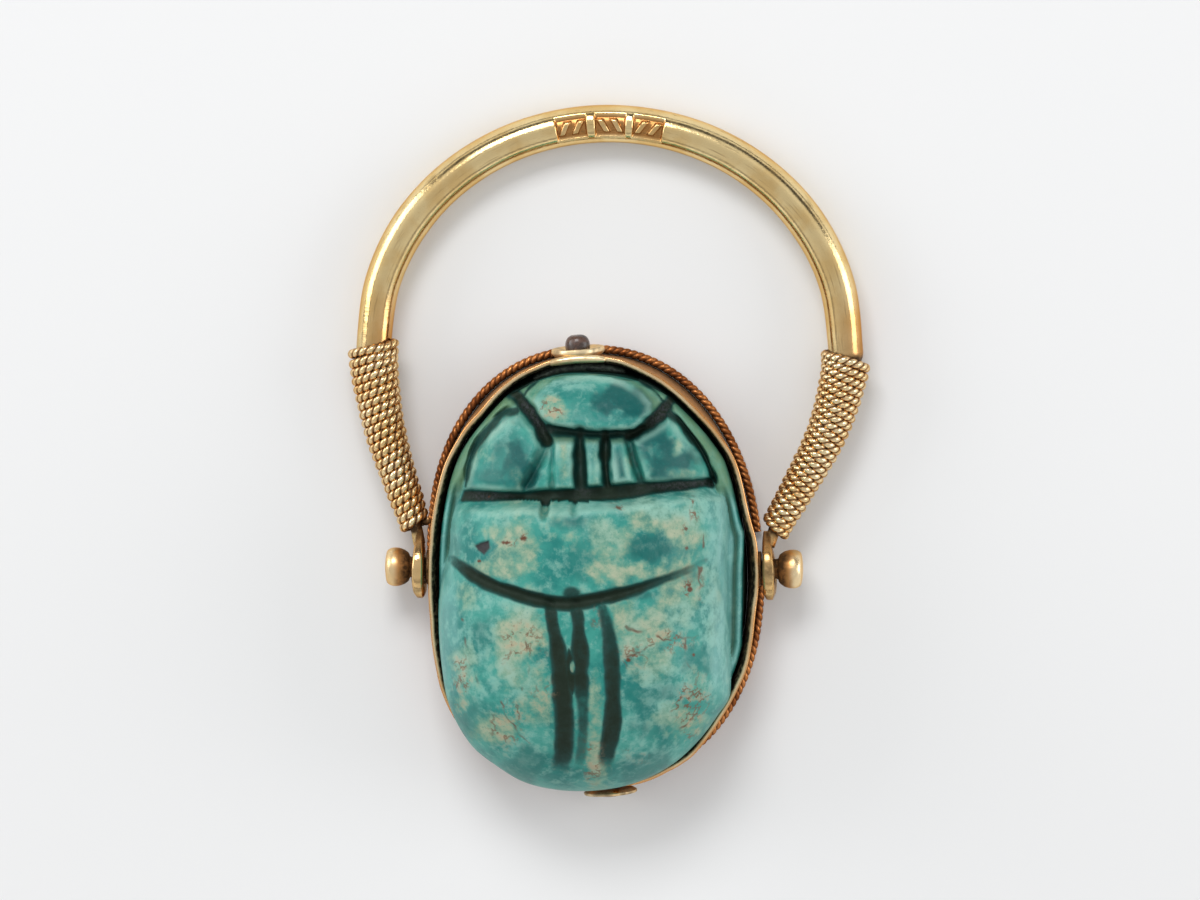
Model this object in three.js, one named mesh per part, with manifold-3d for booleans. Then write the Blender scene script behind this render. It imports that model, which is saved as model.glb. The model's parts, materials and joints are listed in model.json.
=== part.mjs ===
// Swivel ring set with a glazed scarab: a wire hoop whose pierced ears turn on two pins,
// and an oval setting that holds the carved beetle by a gold strip wall and a lengthwise rivet.
// Millimetres. X runs along the swivel axis, Y from the beetle's tail to its head, Z up out of
// its back. The origin is on the beetle's flat underside, below the swivel axis.
// The ring lies on that underside, with the far end of its hoop on the same surface.

import * as THREE from 'three';
import { mergeVertices } from 'three/addons/utils/BufferGeometryUtils.js';
import Module from 'manifold-3d';

const wasm = await Module();
wasm.setup();

// Driving dimensions of the beetle
const baseHalfWidth = 5.93;
const baseHalfLength = 8.02;
const baseRoundness = 2.2; // exponent of the base oval: 2 is an ellipse, more is squarer
const settingLean = THREE.MathUtils.degToRad(4.2); // the oval's long axis leans left of the head
const bandHeight = 2.3; // top of the leg band round the beetle's foot
const bodyHalfWidth = 5.85;
const bodyHalfLength = 7.45;
const bodyRoundness = 2.55;
const bodyCentre = { x: -0.2, y: -1.4 };
const bodyRimHeight = 2.75;
const bodyRise = 4.35; // from the rim of the wing cases to the top of the back
const headRimHeight = 2.6;
const headRise = 3.2;
const headHalfWidth = 5.5;
const headHalfLength = 8.05;
const domeFullness = 2.3; // higher keeps the back flatter out towards its rim
const domeShoulder = 0.6; // lower makes the rim steeper
const shieldFront = 3.15; // front edge of the shield behind the head, at the middle
const shieldFrontSlope = 0.05;
const carvingDepth = 0.6; // depth of the sunk ground between the forms of the head
const seamDepth = 0.42; // depth of the lines cut in the back
const seamWidth = 0.56;
const undersideLineWidth = 0.4;
const undersideLineDepth = 0.2;
const undersideLineInset = 0.75;

// Driving dimensions of the gold setting
const seatClearance = 0.15; // between the beetle's foot and the strip wall
const wallThickness = 0.3;
const wallHeight = 2.45;
const lipGap = 0.06; // between the lip and the wing cases that overhang it
const wallFlare = 0.22; // how far the lip stands out beyond the foot of the wall
const borderRadius = 0.175;
const borderGap = 0.02;
const borderBreakHalf = 0.85; // half the break in the border beside each swivel pin
const rivetHeight = 1.45; // height of the lengthwise rivet's axis
const collarRadius = 1.05;
const collarThickness = 0.38;
const lowerCollarThickness = 0.22; // the collar under the beetle's tail is thinner
const studRadius = 0.5;
const studProud = 0.5; // how far the rivet's head end stands beyond its collar
const lowerStudProud = 0.12; // its tail end is hammered almost flat
const fitGap = 0.02; // between metal pieces that are soldered or pressed together

// Driving dimensions of the swivel
const axisHeight = 1.5;
const pinShaftRadius = 0.4;
const runningClearance = 0.05;
const earRadius = 1.25;
const earThickness = 0.5;
const earGap = 0.08; // between an ear and the widest point of the wall beside it
const bossRadius = 0.7;
const pinNeckLength = 0.19;
const pinHeadRadius = 0.77;
const pinHeadLength = 0.93;

// Driving dimensions of the hoop
const wireRadius = 0.75;
const wireEndRadius = 0.24;
const hoopHalfWidth = 9.42; // of the wire's centreline
const hoopRise = 8.67; // from the shoulders to the top of the hoop
const hoopOffset = 0.6; // the hoop stands a little right of the setting
const shoulderHeight = 9.13; // along the hoop, from the swivel axis to its widest line
const wrapTop = 8.9; // along the hoop, from the swivel axis
const wrapBottom = 1.5;
const wrapWireDiameter = 0.35;
const wrapGap = 0.02;
const wireUnderWrap = 0.64; // radius of the hoop's wire just inside the top of the wraps
const wrapShoulder = 0.3; // length over which the bare wire swells again above the wraps

const gold = new THREE.MeshStandardMaterial({ color: 0xc9a763, roughness: 0.3, metalness: 1 });
const wrapGold = new THREE.MeshStandardMaterial({ color: 0xb98a45, roughness: 0.4, metalness: 1 });
const borderGold = new THREE.MeshStandardMaterial({ color: 0xa8632c, roughness: 0.45, metalness: 1 });
const darkMetal = new THREE.MeshStandardMaterial({ color: 0x2e2220, roughness: 0.3, metalness: 0.6 });
const glaze = new THREE.MeshStandardMaterial({ color: 0x4ba8a0, roughness: 0.35, metalness: 0 });

const ovalSides = 68; // facets round the setting
const domeSides = 46; // facets round the beetle's back
const wireSides = 9;
const borderSides = 6;
const pinSides = 16;
const collarSides = 20;
const facetTolerance = 0.018; // facets flatter than this are joined
const fullTurn = Math.PI * 2;
const quarterTurn = Math.PI / 2;

// General shapes

// Turns every face outward.
function faceOutward(geometry) {
  const points = geometry.attributes.position;
  const index = geometry.index.array;
  const [a, b, c] = [new THREE.Vector3(), new THREE.Vector3(), new THREE.Vector3()];
  let volume = 0;
  for (let i = 0; i < index.length; i += 3) {
    a.fromBufferAttribute(points, index[i]);
    b.fromBufferAttribute(points, index[i + 1]);
    c.fromBufferAttribute(points, index[i + 2]);
    volume += a.dot(b.cross(c));
  }
  if (volume < 0) {
    for (let i = 0; i < index.length; i += 3) {
      [index[i], index[i + 1]] = [index[i + 1], index[i]];
    }
  }
  return geometry;
}

// A closed skin through rings of points, capped at both ends or joined end to end.
function loft(rings, joinsEnds = false) {
  const sides = rings[0].length;
  const positions = rings.flat().flatMap((point) => [point.x, point.y, point.z]);
  const index = [];
  const spans = joinsEnds ? rings.length : rings.length - 1;
  for (let row = 0; row < spans; row += 1) {
    const here = row * sides;
    const next = ((row + 1) % rings.length) * sides;
    for (let side = 0; side < sides; side += 1) {
      const other = (side + 1) % sides;
      index.push(here + side, here + other, next + other);
      index.push(here + side, next + other, next + side);
    }
  }
  if (!joinsEnds) {
    const last = (rings.length - 1) * sides;
    for (const [start, ring, flip] of [[0, rings[0], true], [last, rings.at(-1), false]]) {
      const middle = ring.reduce((sum, point) => sum.add(point), new THREE.Vector3());
      middle.divideScalar(sides);
      const hub = positions.length / 3;
      positions.push(middle.x, middle.y, middle.z);
      for (let side = 0; side < sides; side += 1) {
        const other = (side + 1) % sides;
        index.push(hub, start + (flip ? other : side), start + (flip ? side : other));
      }
    }
  }
  const geometry = new THREE.BufferGeometry();
  geometry.setAttribute('position', new THREE.Float32BufferAttribute(positions, 3));
  geometry.setIndex(index);
  return faceOutward(geometry);
}

function ring(sides, pointAt) {
  return Array.from({ length: sides }, (unused, side) => pointAt((side / sides) * fullTurn));
}

function toSolid(geometry) {
  const plain = geometry.clone();
  plain.deleteAttribute('normal');
  plain.deleteAttribute('uv');
  const merged = mergeVertices(plain, 1e-5);
  return new wasm.Manifold(new wasm.Mesh({
    numProp: 3,
    vertProperties: new Float32Array(merged.attributes.position.array),
    triVerts: new Uint32Array(merged.index.array),
  }));
}

function toGeometry(solid) {
  const mesh = solid.getMesh();
  const geometry = new THREE.BufferGeometry();
  geometry.setAttribute('position', new THREE.BufferAttribute(new Float32Array(mesh.vertProperties), 3));
  geometry.setIndex(new THREE.BufferAttribute(new Uint32Array(mesh.triVerts), 1));
  return geometry;
}

// Point of a superellipse at an angle of its own circle.
function ovalPoint(turn, halfWidth, halfLength, roundness) {
  const along = Math.cos(turn);
  const across = Math.sin(turn);
  return {
    x: halfWidth * Math.sign(along) * Math.abs(along) ** (2 / roundness),
    y: halfLength * Math.sign(across) * Math.abs(across) ** (2 / roundness),
  };
}

// A solid of revolution whose axis runs along a direction in the XY plane.
function turned(profile, direction, segments = pinSides) {
  const points = profile.map(([radius, along]) => new THREE.Vector2(radius, along));
  const geometry = new THREE.LatheGeometry(points, segments);
  const turn = new THREE.Quaternion().setFromUnitVectors(new THREE.Vector3(0, 1, 0), direction);
  geometry.applyQuaternion(turn);
  return geometry;
}

// Setting: the strip wall follows the beetle's foot and flares, unevenly, towards its lip.

// Outward bend of the hand-made wall at its lip: wide low on the left, tight high on the right.
function lipOffset(turn) {
  const leftBulge = -0.36 * Math.cos(turn) - 0.9 * Math.sin(turn);
  const diagonalBulge = 0.73 * Math.sin(2 * turn);
  return wallFlare * (1 + leftBulge + diagonalBulge);
}

// Point of the foot oval grown by a distance, at a height up the wall.
function settingPoint(turn, growth, height) {
  const flare = lipOffset(turn) * Math.max(height, 0) / wallHeight;
  const point = ovalPoint(turn, baseHalfWidth + growth + flare, baseHalfLength + growth + flare,
    baseRoundness);
  const leaning = new THREE.Vector3(point.x, point.y, height);
  return leaning.applyAxisAngle(new THREE.Vector3(0, 0, 1), settingLean);
}

const wallInside = seatClearance;
const wallOutside = seatClearance + wallThickness;

// Furthest reach of the wall along X within an ear's radius of the swivel axis.
function wallReach() {
  const turns = Array.from({ length: 721 }, (unused, step) => (step / 720) * fullTurn);
  const besideEar = turns.map((turn) => settingPoint(turn, wallOutside, wallHeight))
    .filter((point) => Math.abs(point.y) < earRadius);
  return Math.max(...besideEar.map((point) => Math.abs(point.x)));
}

const earInner = wallReach() + earGap;
const earMiddle = earInner + earThickness / 2;
const earOuter = earInner + earThickness;

function makeWall() {
  const lipBevel = wallThickness * 0.3;
  const section = [
    [wallInside, 0], [wallOutside, 0],
    [wallOutside, wallHeight - lipBevel], [wallOutside - lipBevel, wallHeight],
    [wallInside + lipBevel, wallHeight], [wallInside, wallHeight - lipBevel],
  ];
  const rings = section.map(([growth, height]) => ring(ovalSides, (turn) => settingPoint(turn, growth, height)));
  return toSolid(loft(rings, true));
}

// The bosses fill the space between the wall and the ears.
function makeBoss(side) {
  const wallMiddle = settingPoint(side > 0 ? 0 : Math.PI, seatClearance + wallThickness / 2, axisHeight);
  const start = Math.abs(wallMiddle.x) - wallThickness * 0.2;
  const end = earInner - fitGap * 2;
  const profile = [[0, start], [bossRadius, start], [bossRadius, end], [0, end]];
  const boss = turned(profile, new THREE.Vector3(side, 0, 0));
  boss.translate(0, 0, axisHeight);
  return toSolid(boss);
}

function makeBezel() {
  const room = toSolid(loft([-1, wallHeight + 1].map((height) => ring(ovalSides,
    (turn) => settingPoint(turn, wallInside, height)))));
  const bosses = makeBoss(1).add(makeBoss(-1)).subtract(room);
  return toGeometry(makeWall().add(bosses));
}

// One arc of the twisted wire soldered round the foot of the wall.
function makeBorder(side) {
  const breakTurn = Math.asin((borderBreakHalf / (baseHalfLength + wallOutside)) ** (baseRoundness / 2));
  const steps = 32;
  const growth = wallOutside + borderGap + borderRadius;
  const rings = Array.from({ length: steps + 1 }, (unused, step) => {
    const turn = side * (breakTurn + (step / steps) * (Math.PI - 2 * breakTurn));
    const centre = settingPoint(turn, growth, borderRadius);
    const outward = settingPoint(turn, growth + borderRadius, borderRadius).sub(centre).normalize();
    return ring(borderSides, (angle) => centre.clone()
      .addScaledVector(outward, borderRadius * Math.cos(angle))
      .add(new THREE.Vector3(0, 0, borderRadius * Math.sin(angle))));
  });
  return loft(rings);
}

const headward = new THREE.Vector3(0, 1, 0).applyAxisAngle(new THREE.Vector3(0, 0, 1), settingLean);

// Distance from the oval's centre to the outside of the wall along the rivet.
function rivetStart(side) {
  const flare = lipOffset(side * quarterTurn);
  return baseHalfLength + wallOutside + Math.max(flare, 0) + fitGap;
}

function makeCollar(side) {
  const start = rivetStart(side);
  const thickness = side > 0 ? collarThickness : lowerCollarThickness;
  const bore = studRadius + fitGap;
  const profile = [
    [bore, start], [collarRadius * 0.8, start],
    [collarRadius, start + thickness * 0.6], [collarRadius * 0.95, start + thickness],
    [bore + fitGap, start + thickness * 0.7], [bore, start],
  ];
  const collar = turned(profile, headward.clone().multiplyScalar(side), collarSides);
  collar.translate(0, 0, rivetHeight);
  return collar;
}

function makeStud(side) {
  const start = rivetStart(side);
  const crown = start + (side > 0 ? collarThickness : lowerCollarThickness);
  const proud = side > 0 ? studProud : lowerStudProud;
  const profile = [[0, start], [studRadius, start], [studRadius, crown]];
  for (let step = 1; step < 5; step += 1) {
    const angle = (step / 5) * quarterTurn;
    profile.push([studRadius * Math.cos(angle), crown + proud * Math.sin(angle)]);
  }
  profile.push([0, crown + proud]);
  const stud = turned(profile, headward.clone().multiplyScalar(side));
  stud.translate(0, 0, rivetHeight);
  return stud;
}

// Beetle

// Share of the way from an oval's centre to its rim at a point.
function rimShare(x, y, centre, halfWidth, halfLength) {
  const across = Math.abs((x - centre.x) / halfWidth) ** bodyRoundness;
  const along = Math.abs((y - centre.y) / halfLength) ** bodyRoundness;
  return (across + along) ** (1 / bodyRoundness);
}

function domeHeight(share) {
  return Math.max(1 - share ** domeFullness, 0) ** domeShoulder;
}

function backHeight(x, y) {
  const share = rimShare(x, y, bodyCentre, bodyHalfWidth, bodyHalfLength);
  return bodyRimHeight + bodyRise * domeHeight(share);
}

// A dome on an oval foot, from below the rim to the crown.
function makeDome(centre, halfWidth, halfLength, rimHeight, rise, footHeight) {
  const rows = 10;
  const rings = [footHeight, rimHeight].map((height) => ring(domeSides, (turn) => {
    const point = ovalPoint(turn, halfWidth, halfLength, bodyRoundness);
    return new THREE.Vector3(centre.x + point.x, centre.y + point.y, height);
  }));
  for (let row = 1; row < rows; row += 1) {
    const share = Math.cos((row / rows) * quarterTurn);
    rings.push(ring(domeSides, (turn) => {
      const point = ovalPoint(turn, halfWidth * share, halfLength * share, bodyRoundness);
      return new THREE.Vector3(centre.x + point.x, centre.y + point.y,
        rimHeight + rise * domeHeight(share));
    }));
  }
  return toSolid(loft(rings));
}

// A line cut in the back, following its surface; it narrows to nothing past both ends.
function makeSeam(points, width, depth) {
  const path = new THREE.CatmullRomCurve3(points.map(([x, y]) => new THREE.Vector3(x, y, 0)));
  const steps = 14;
  const lift = 0.4;
  const rings = Array.from({ length: steps + 1 }, (unused, step) => {
    const share = step / steps;
    const middle = path.getPoint(share);
    const ahead = path.getTangent(share);
    const aside = new THREE.Vector3(ahead.y, -ahead.x, 0);
    const fade = Math.sin(Math.PI * (0.12 + 0.76 * share)) ** 0.5;
    const halfWidth = (width / 2) * fade;
    const floor = backHeight(middle.x, middle.y) - depth * fade;
    const corner = (reach, height) => middle.clone().addScaledVector(aside, reach).setZ(height);
    const left = corner(-halfWidth, 0);
    const right = corner(halfWidth, 0);
    return [
      corner(-halfWidth * 1.4, backHeight(left.x, left.y) + lift),
      corner(halfWidth * 1.4, backHeight(right.x, right.y) + lift),
      corner(halfWidth * 0.4, floor),
      corner(-halfWidth * 0.4, floor),
    ];
  });
  return toSolid(loft(rings));
}

function prism(outline, low, high) {
  const shape = new THREE.Shape(outline.map(([x, y]) => new THREE.Vector2(x, y)));
  const geometry = new THREE.ExtrudeGeometry(shape, { depth: high - low, bevelEnabled: false });
  geometry.translate(0, 0, low);
  return toSolid(geometry);
}

const headPlate = [
  [-2.52, 7.05], [-1.7, 7.8], [-0.12, 7.95], [1.25, 7.7], [2.42, 6.9],
  [2.3, 6.5], [1.93, 6.0], [1.02, 5.75], [-1.57, 5.85], [-1.9, 6.05],
];
const leftCheek = [[-3.1, 6.33], [-3.87, 5.88], [-4.73, 4.8], [-5.0, 3.55], [-2.82, 3.35], [-1.88, 5.15]];
const rightCheek = [
  [2.98, 6.25], [3.5, 5.8], [4.6, 4.3], [4.52, 3.95], [1.75, 3.7], [1.35, 5.4], [2.76, 6.0],
];
const neckBars = [
  [[-1.53, 3.48], [-0.69, 3.48], [-0.69, 5.6], [-1.53, 5.6]],
  [[-0.25, 3.6], [0.35, 3.6], [0.35, 5.6], [-0.25, 5.6]],
  [[0.87, 3.7], [1.5, 3.7], [1.2, 5.6], [0.67, 5.6]],
];

// The head, cheeks and neck stand up from a sunk ground of the same curve.
function makeHead() {
  const centre = { x: -0.3, y: 0 };
  const foot = bandHeight / 2;
  const ground = makeDome(centre, headHalfWidth, headHalfLength - 0.4, headRimHeight - 0.2,
    headRise - carvingDepth, foot);
  const raised = makeDome(centre, headHalfWidth, headHalfLength, headRimHeight, headRise, foot);
  const forms = [headPlate, leftCheek, rightCheek, ...neckBars]
    .map((outline) => prism(outline, foot, bodyRimHeight + bodyRise))
    .reduce((all, form) => all.add(form));
  return ground.add(raised.intersect(forms));
}

// Shield and wing cases: the back behind the head, with its lines cut in.
function makeBack() {
  const whole = makeDome(bodyCentre, bodyHalfWidth, bodyHalfLength, bodyRimHeight, bodyRise,
    bandHeight / 2);
  const reach = bodyHalfWidth * 2;
  const frontAt = (x) => shieldFront + shieldFrontSlope * x;
  const ahead = prism([
    [-reach, frontAt(-reach)], [reach, frontAt(reach)], [reach, reach], [-reach, reach],
  ], -1, bodyRimHeight + bodyRise + 1);
  const seams = [
    makeSeam([[-5.6, 0.6], [-4.05, -0.2], [-2.2, -0.75], [-0.8, -0.82], [1.03, -0.45], [3.72, 0.45]],
      seamWidth, seamDepth),
    makeSeam([[-1.48, -0.8], [-1.17, -3.55], [-1.05, -7.2], [-1.0, -8.3]], seamWidth, seamDepth * 0.6),
    makeSeam([[-0.5, -0.8], [-0.34, -3.4], [-0.41, -8.1]], seamWidth * 0.8, seamDepth * 0.5),
    makeSeam([[0.58, -0.6], [0.91, -4.7], [0.7, -8.0]], seamWidth, seamDepth * 0.6),
  ];
  return seams.reduce((back, seam) => back.subtract(seam), whole.subtract(ahead));
}

// Foot: the leg band that fills the setting, with a groove round its edge and a cut line below.
function makeFoot() {
  const edge = 0.12;
  const rings = [
    [-edge, 0], [0, edge], [0, bandHeight - edge], [-edge, bandHeight],
  ].map(([growth, height]) => ring(ovalSides, (turn) => settingPoint(turn, growth, height)));
  const line = [
    [-undersideLineInset, -0.5], [-undersideLineInset, 0],
    [-undersideLineInset - undersideLineWidth / 2, undersideLineDepth],
    [-undersideLineInset - undersideLineWidth, 0], [-undersideLineInset - undersideLineWidth, -0.5],
  ].map(([growth, height]) => ring(domeSides, (turn) => settingPoint(turn, growth, height)));
  return toSolid(loft(rings)).subtract(toSolid(loft(line, true)));
}

// The space that the strip wall takes, up to just above its lip.
function makeWallSpace() {
  const reach = baseHalfLength * 2;
  const top = wallHeight + lipGap;
  const slab = prism([[-reach, -reach], [reach, -reach], [reach, reach], [-reach, reach]], -1, top);
  const seat = [-2, 0, wallHeight, wallHeight * 2].map((height) => ring(ovalSides,
    (turn) => settingPoint(turn, 0, height)));
  return slab.subtract(toSolid(loft(seat)));
}

function makeScarab() {
  const beetle = makeBack().add(makeHead()).subtract(makeWallSpace());
  return toGeometry(makeFoot().add(beetle).simplify(facetTolerance));
}

// Hoop: drawn flat with its swivel axis at the origin, then laid down in its group.

// Centreline of the wire from one ear to the other.
function hoopPath() {
  const legShares = [[0.1, 0], [0.19, 0.1], [0.33, 0.34], [0.6, 0.765], [0.86, 0.99]];
  const legPoint = (side) => ([height, outward]) => new THREE.Vector3(
    THREE.MathUtils.lerp(side * earMiddle, hoopOffset + side * hoopHalfWidth, outward),
    shoulderHeight * height, 0);
  const arch = Array.from({ length: 13 }, (unused, step) => {
    const angle = (step / 12) * Math.PI;
    return new THREE.Vector3(hoopOffset + hoopHalfWidth * Math.cos(angle),
      shoulderHeight + hoopRise * Math.sin(angle), 0);
  });
  return new THREE.CatmullRomCurve3([
    ...legShares.map(legPoint(1)), ...arch, ...legShares.map(legPoint(-1)).reverse(),
  ]);
}

const path = hoopPath();

// Radius of the bare wire at a height above the swivel axis: it thins under the wraps.
function wireRadiusAt(height) {
  if (height > wrapTop) {
    const share = Math.min((height - wrapTop) / wrapShoulder, 1);
    return THREE.MathUtils.lerp(wireUnderWrap, wireRadius, share);
  }
  const share = Math.max((height - wrapBottom) / (wrapTop - wrapBottom), 0);
  return THREE.MathUtils.lerp(wireEndRadius, wireUnderWrap, share);
}

// Ring of points round the path, square to it.
function pathRing(share, radius, sides) {
  const centre = path.getPointAt(share);
  const ahead = path.getTangentAt(share);
  return ring(sides, (angle) => new THREE.Vector3(
    centre.x + radius * Math.cos(angle) * ahead.y,
    centre.y - radius * Math.cos(angle) * ahead.x,
    radius * Math.sin(angle)));
}

// Share of the path's length at which one leg passes a height.
function shareAtHeight(height, side) {
  let [low, high] = [0, 0.5];
  for (let step = 0; step < 30; step += 1) {
    const middle = (low + high) / 2;
    const point = path.getPointAt(side > 0 ? middle : 1 - middle);
    if (point.y < height) {
      low = middle;
    } else {
      high = middle;
    }
  }
  return side > 0 ? low : 1 - low;
}

// Stations along the wrapped stretch of one leg, from its foot up.
function legStations(side) {
  const steps = 9;
  const low = shareAtHeight(wrapBottom, side);
  const high = shareAtHeight(wrapTop, side);
  return Array.from({ length: steps + 1 }, (unused, step) => (
    THREE.MathUtils.lerp(low, high, step / steps)));
}

// Stations along the bare arch, between the shoulders of the two wraps.
function archStations() {
  const steps = 32;
  const start = shareAtHeight(wrapTop + wrapShoulder, 1);
  const end = shareAtHeight(wrapTop + wrapShoulder, -1);
  return Array.from({ length: steps + 1 }, (unused, step) => (
    THREE.MathUtils.lerp(start, end, step / steps)));
}

function makeEar(side) {
  const ear = turned([
    [0, -earThickness / 2], [earRadius, -earThickness / 2],
    [earRadius, earThickness / 2], [0, earThickness / 2],
  ], new THREE.Vector3(1, 0, 0), collarSides);
  ear.translate(side * earMiddle, 0, 0);
  return toSolid(ear);
}

function makePinHoles() {
  const radius = pinShaftRadius + runningClearance;
  const reach = earOuter + 1;
  return toSolid(turned([[0, -reach], [radius, -reach], [radius, reach], [0, reach]],
    new THREE.Vector3(1, 0, 0)));
}

function makeShank() {
  const stations = [0, ...legStations(1), ...archStations(), ...legStations(-1).reverse(), 1];
  const rings = stations.map((share) => (
    pathRing(share, wireRadiusAt(path.getPointAt(share).y), wireSides)));
  const wire = toSolid(loft(rings));
  return toGeometry(wire.add(makeEar(1)).add(makeEar(-1)).subtract(makePinHoles()));
}

// A close coil of wire round one leg, one rib for each turn.
function makeWrap(side) {
  const stations = legStations(side);
  const [low, high] = [stations[0], stations.at(-1)];
  const length = Math.abs(high - low) * path.getLength();
  const turns = Math.round(length / wrapWireDiameter);
  const rings = [];
  for (let step = 0; step <= turns * 2; step += 1) {
    const share = THREE.MathUtils.lerp(low, high, step / (turns * 2));
    const bare = wireRadiusAt(path.getPointAt(share).y) + wrapGap;
    const valley = step % 2 === 0 ? 0.6 : 1;
    rings.push(pathRing(share, bare + wrapWireDiameter * valley, wireSides));
  }
  for (const share of stations.reverse()) {
    rings.push(pathRing(share, wireRadiusAt(path.getPointAt(share).y) + wrapGap, wireSides));
  }
  return loft(rings, true);
}

// Headed pin: its shaft runs through the ear up to the boss.
function makePin(side) {
  const neckEnd = earOuter + pinNeckLength;
  const headEnd = neckEnd + pinHeadLength;
  const profile = [
    [0, earInner - fitGap], [pinShaftRadius, earInner - fitGap],
    [pinShaftRadius, earOuter + runningClearance], [pinShaftRadius * 1.15, neckEnd],
    [pinHeadRadius * 0.9, neckEnd + pinHeadLength * 0.25],
    [pinHeadRadius, neckEnd + pinHeadLength * 0.4], [pinHeadRadius, headEnd - pinHeadLength * 0.3],
    [pinHeadRadius * 0.86, headEnd - pinHeadLength * 0.11],
    [pinHeadRadius * 0.5, headEnd - pinHeadLength * 0.02], [0, headEnd],
  ];
  const pin = turned(profile, new THREE.Vector3(side, 0, 0));
  pin.translate(0, 0, axisHeight);
  return pin;
}

// Assembly

function named(name, geometry, material) {
  const mesh = new THREE.Mesh(geometry, material.clone());
  mesh.name = name;
  return mesh;
}

const setting = new THREE.Group();
setting.add(
  named('scarab', makeScarab(), glaze),
  named('bezel', makeBezel(), gold),
  named('border_upper', makeBorder(1), borderGold),
  named('border_lower', makeBorder(-1), borderGold),
  named('swivel_pin_left', makePin(-1), gold),
  named('swivel_pin_right', makePin(1), gold),
  named('rivet_collar_top', makeCollar(1), gold),
  named('rivet_collar_bottom', makeCollar(-1), gold),
  named('rivet_head_top', makeStud(1), darkMetal),
  named('rivet_head_bottom', makeStud(-1), darkMetal),
);

// The hoop drops from the swivel axis until the wire at its far end touches the surface.
const hoopReach = shoulderHeight + hoopRise;
const hoop = new THREE.Group();
hoop.position.set(0, 0, axisHeight);
hoop.rotation.x = -Math.asin((axisHeight - wireRadius) / hoopReach);
hoop.add(
  named('shank', makeShank(), gold),
  named('wire_wrap_left', makeWrap(-1), wrapGold),
  named('wire_wrap_right', makeWrap(1), wrapGold),
);

const ringModel = new THREE.Group();
ringModel.add(setting, hoop);

export default ringModel;
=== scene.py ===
"""Looks of a gold swivel ring set with a carved, turquoise-glazed scarab.

Shapes are worked out in millimetres and scaled to metres as each mesh is made.
X runs along the swivel axis, Y from the beetle's tail to its head, Z up out of its back.
"""

import json
import math

import bpy
import numpy as np
from mathutils import Matrix, Vector


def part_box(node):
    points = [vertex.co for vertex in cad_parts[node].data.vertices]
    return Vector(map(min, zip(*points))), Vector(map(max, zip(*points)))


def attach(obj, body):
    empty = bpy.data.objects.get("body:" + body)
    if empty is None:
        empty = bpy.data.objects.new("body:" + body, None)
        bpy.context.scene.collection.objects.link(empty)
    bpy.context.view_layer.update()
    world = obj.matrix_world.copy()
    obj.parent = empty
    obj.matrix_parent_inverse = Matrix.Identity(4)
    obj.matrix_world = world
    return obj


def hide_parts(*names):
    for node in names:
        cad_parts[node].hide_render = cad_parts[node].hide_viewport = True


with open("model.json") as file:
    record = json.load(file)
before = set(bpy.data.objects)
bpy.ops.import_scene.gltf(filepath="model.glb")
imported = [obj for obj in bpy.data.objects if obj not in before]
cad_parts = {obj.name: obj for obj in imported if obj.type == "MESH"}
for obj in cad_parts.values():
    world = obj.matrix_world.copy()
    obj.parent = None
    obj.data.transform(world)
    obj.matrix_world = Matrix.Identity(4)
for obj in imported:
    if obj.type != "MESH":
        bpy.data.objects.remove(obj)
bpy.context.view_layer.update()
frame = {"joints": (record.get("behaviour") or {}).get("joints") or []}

MM = 0.001
TURN = 2 * math.pi

# Sizes shared with the solids, in millimetres
BASE_HALF_WIDTH = 5.93
BASE_HALF_LENGTH = 8.02
BASE_ROUNDNESS = 2.2
SETTING_LEAN = math.radians(4.2)
SEAT_CLEARANCE = 0.15
WALL_THICKNESS = 0.3
WALL_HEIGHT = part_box("bezel")[1].z / MM
AXIS_HEIGHT = frame["joints"][0]["pos_m"][2] / MM
BORDER_RADIUS = 0.175
RIVET_HEIGHT = 1.45
EAR_RADIUS = 1.25
EAR_THICKNESS = 0.5
PIN_SHAFT_RADIUS = 0.4
PIN_HOLE_RADIUS = 0.45
WIRE_RADIUS = 0.75
WIRE_UNDER_WRAP = 0.64
WIRE_END_RADIUS = 0.24
HOOP_HALF_WIDTH = 9.42
HOOP_RISE = 8.67
HOOP_OFFSET = 0.6
SHOULDER_HEIGHT = 9.13
WRAP_TOP = 8.9
WRAP_BOTTOM = 1.5
EAR_MIDDLE = (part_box("swivel_pin_right")[1].x / MM) - 1.37

# The photograph's view: how far a point moves in the picture for each millimetre of height
VIEW_RIGHT = 0.05
VIEW_HEAD = 0.11
VIEW_ORIGIN_X = 0.06
VIEW_SHORTENING = 0.994


# Small numeric helpers


def smooth(low, high, value):
    """Smooth step from 0 at low to 1 at high."""
    share = np.clip((value - low) / (high - low), 0, 1)
    return share * share * (3 - 2 * share)


def hashed(ix, iy, iz, seed):
    """Repeatable pseudo-random value from 0 to 1 for each whole-number cell."""
    mixed = ix * 374761393 + iy * 668265263 + iz * 2147483647 + seed * 974634777
    mixed = (mixed ^ (mixed >> 13)) * 1274126177
    mixed = mixed ^ (mixed >> 16)
    return (mixed & 0xFFFFFF) / float(0xFFFFFF)


def noise(points, cell, seed=0):
    """Smooth value noise from -1 to 1 at points, with features about one cell across."""
    scaled = np.asarray(points, float) / cell
    whole = np.floor(scaled).astype(np.int64)
    part = scaled - whole
    part = part * part * (3 - 2 * part)
    total = 0
    for dx in (0, 1):
        for dy in (0, 1):
            for dz in (0, 1):
                weight = np.abs(1 - dx - part[..., 0]) * np.abs(1 - dy - part[..., 1])
                weight = weight * np.abs(1 - dz - part[..., 2])
                total = total + weight * hashed(
                    whole[..., 0] + dx, whole[..., 1] + dy, whole[..., 2] + dz, seed
                )
    return total * 2 - 1


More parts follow.
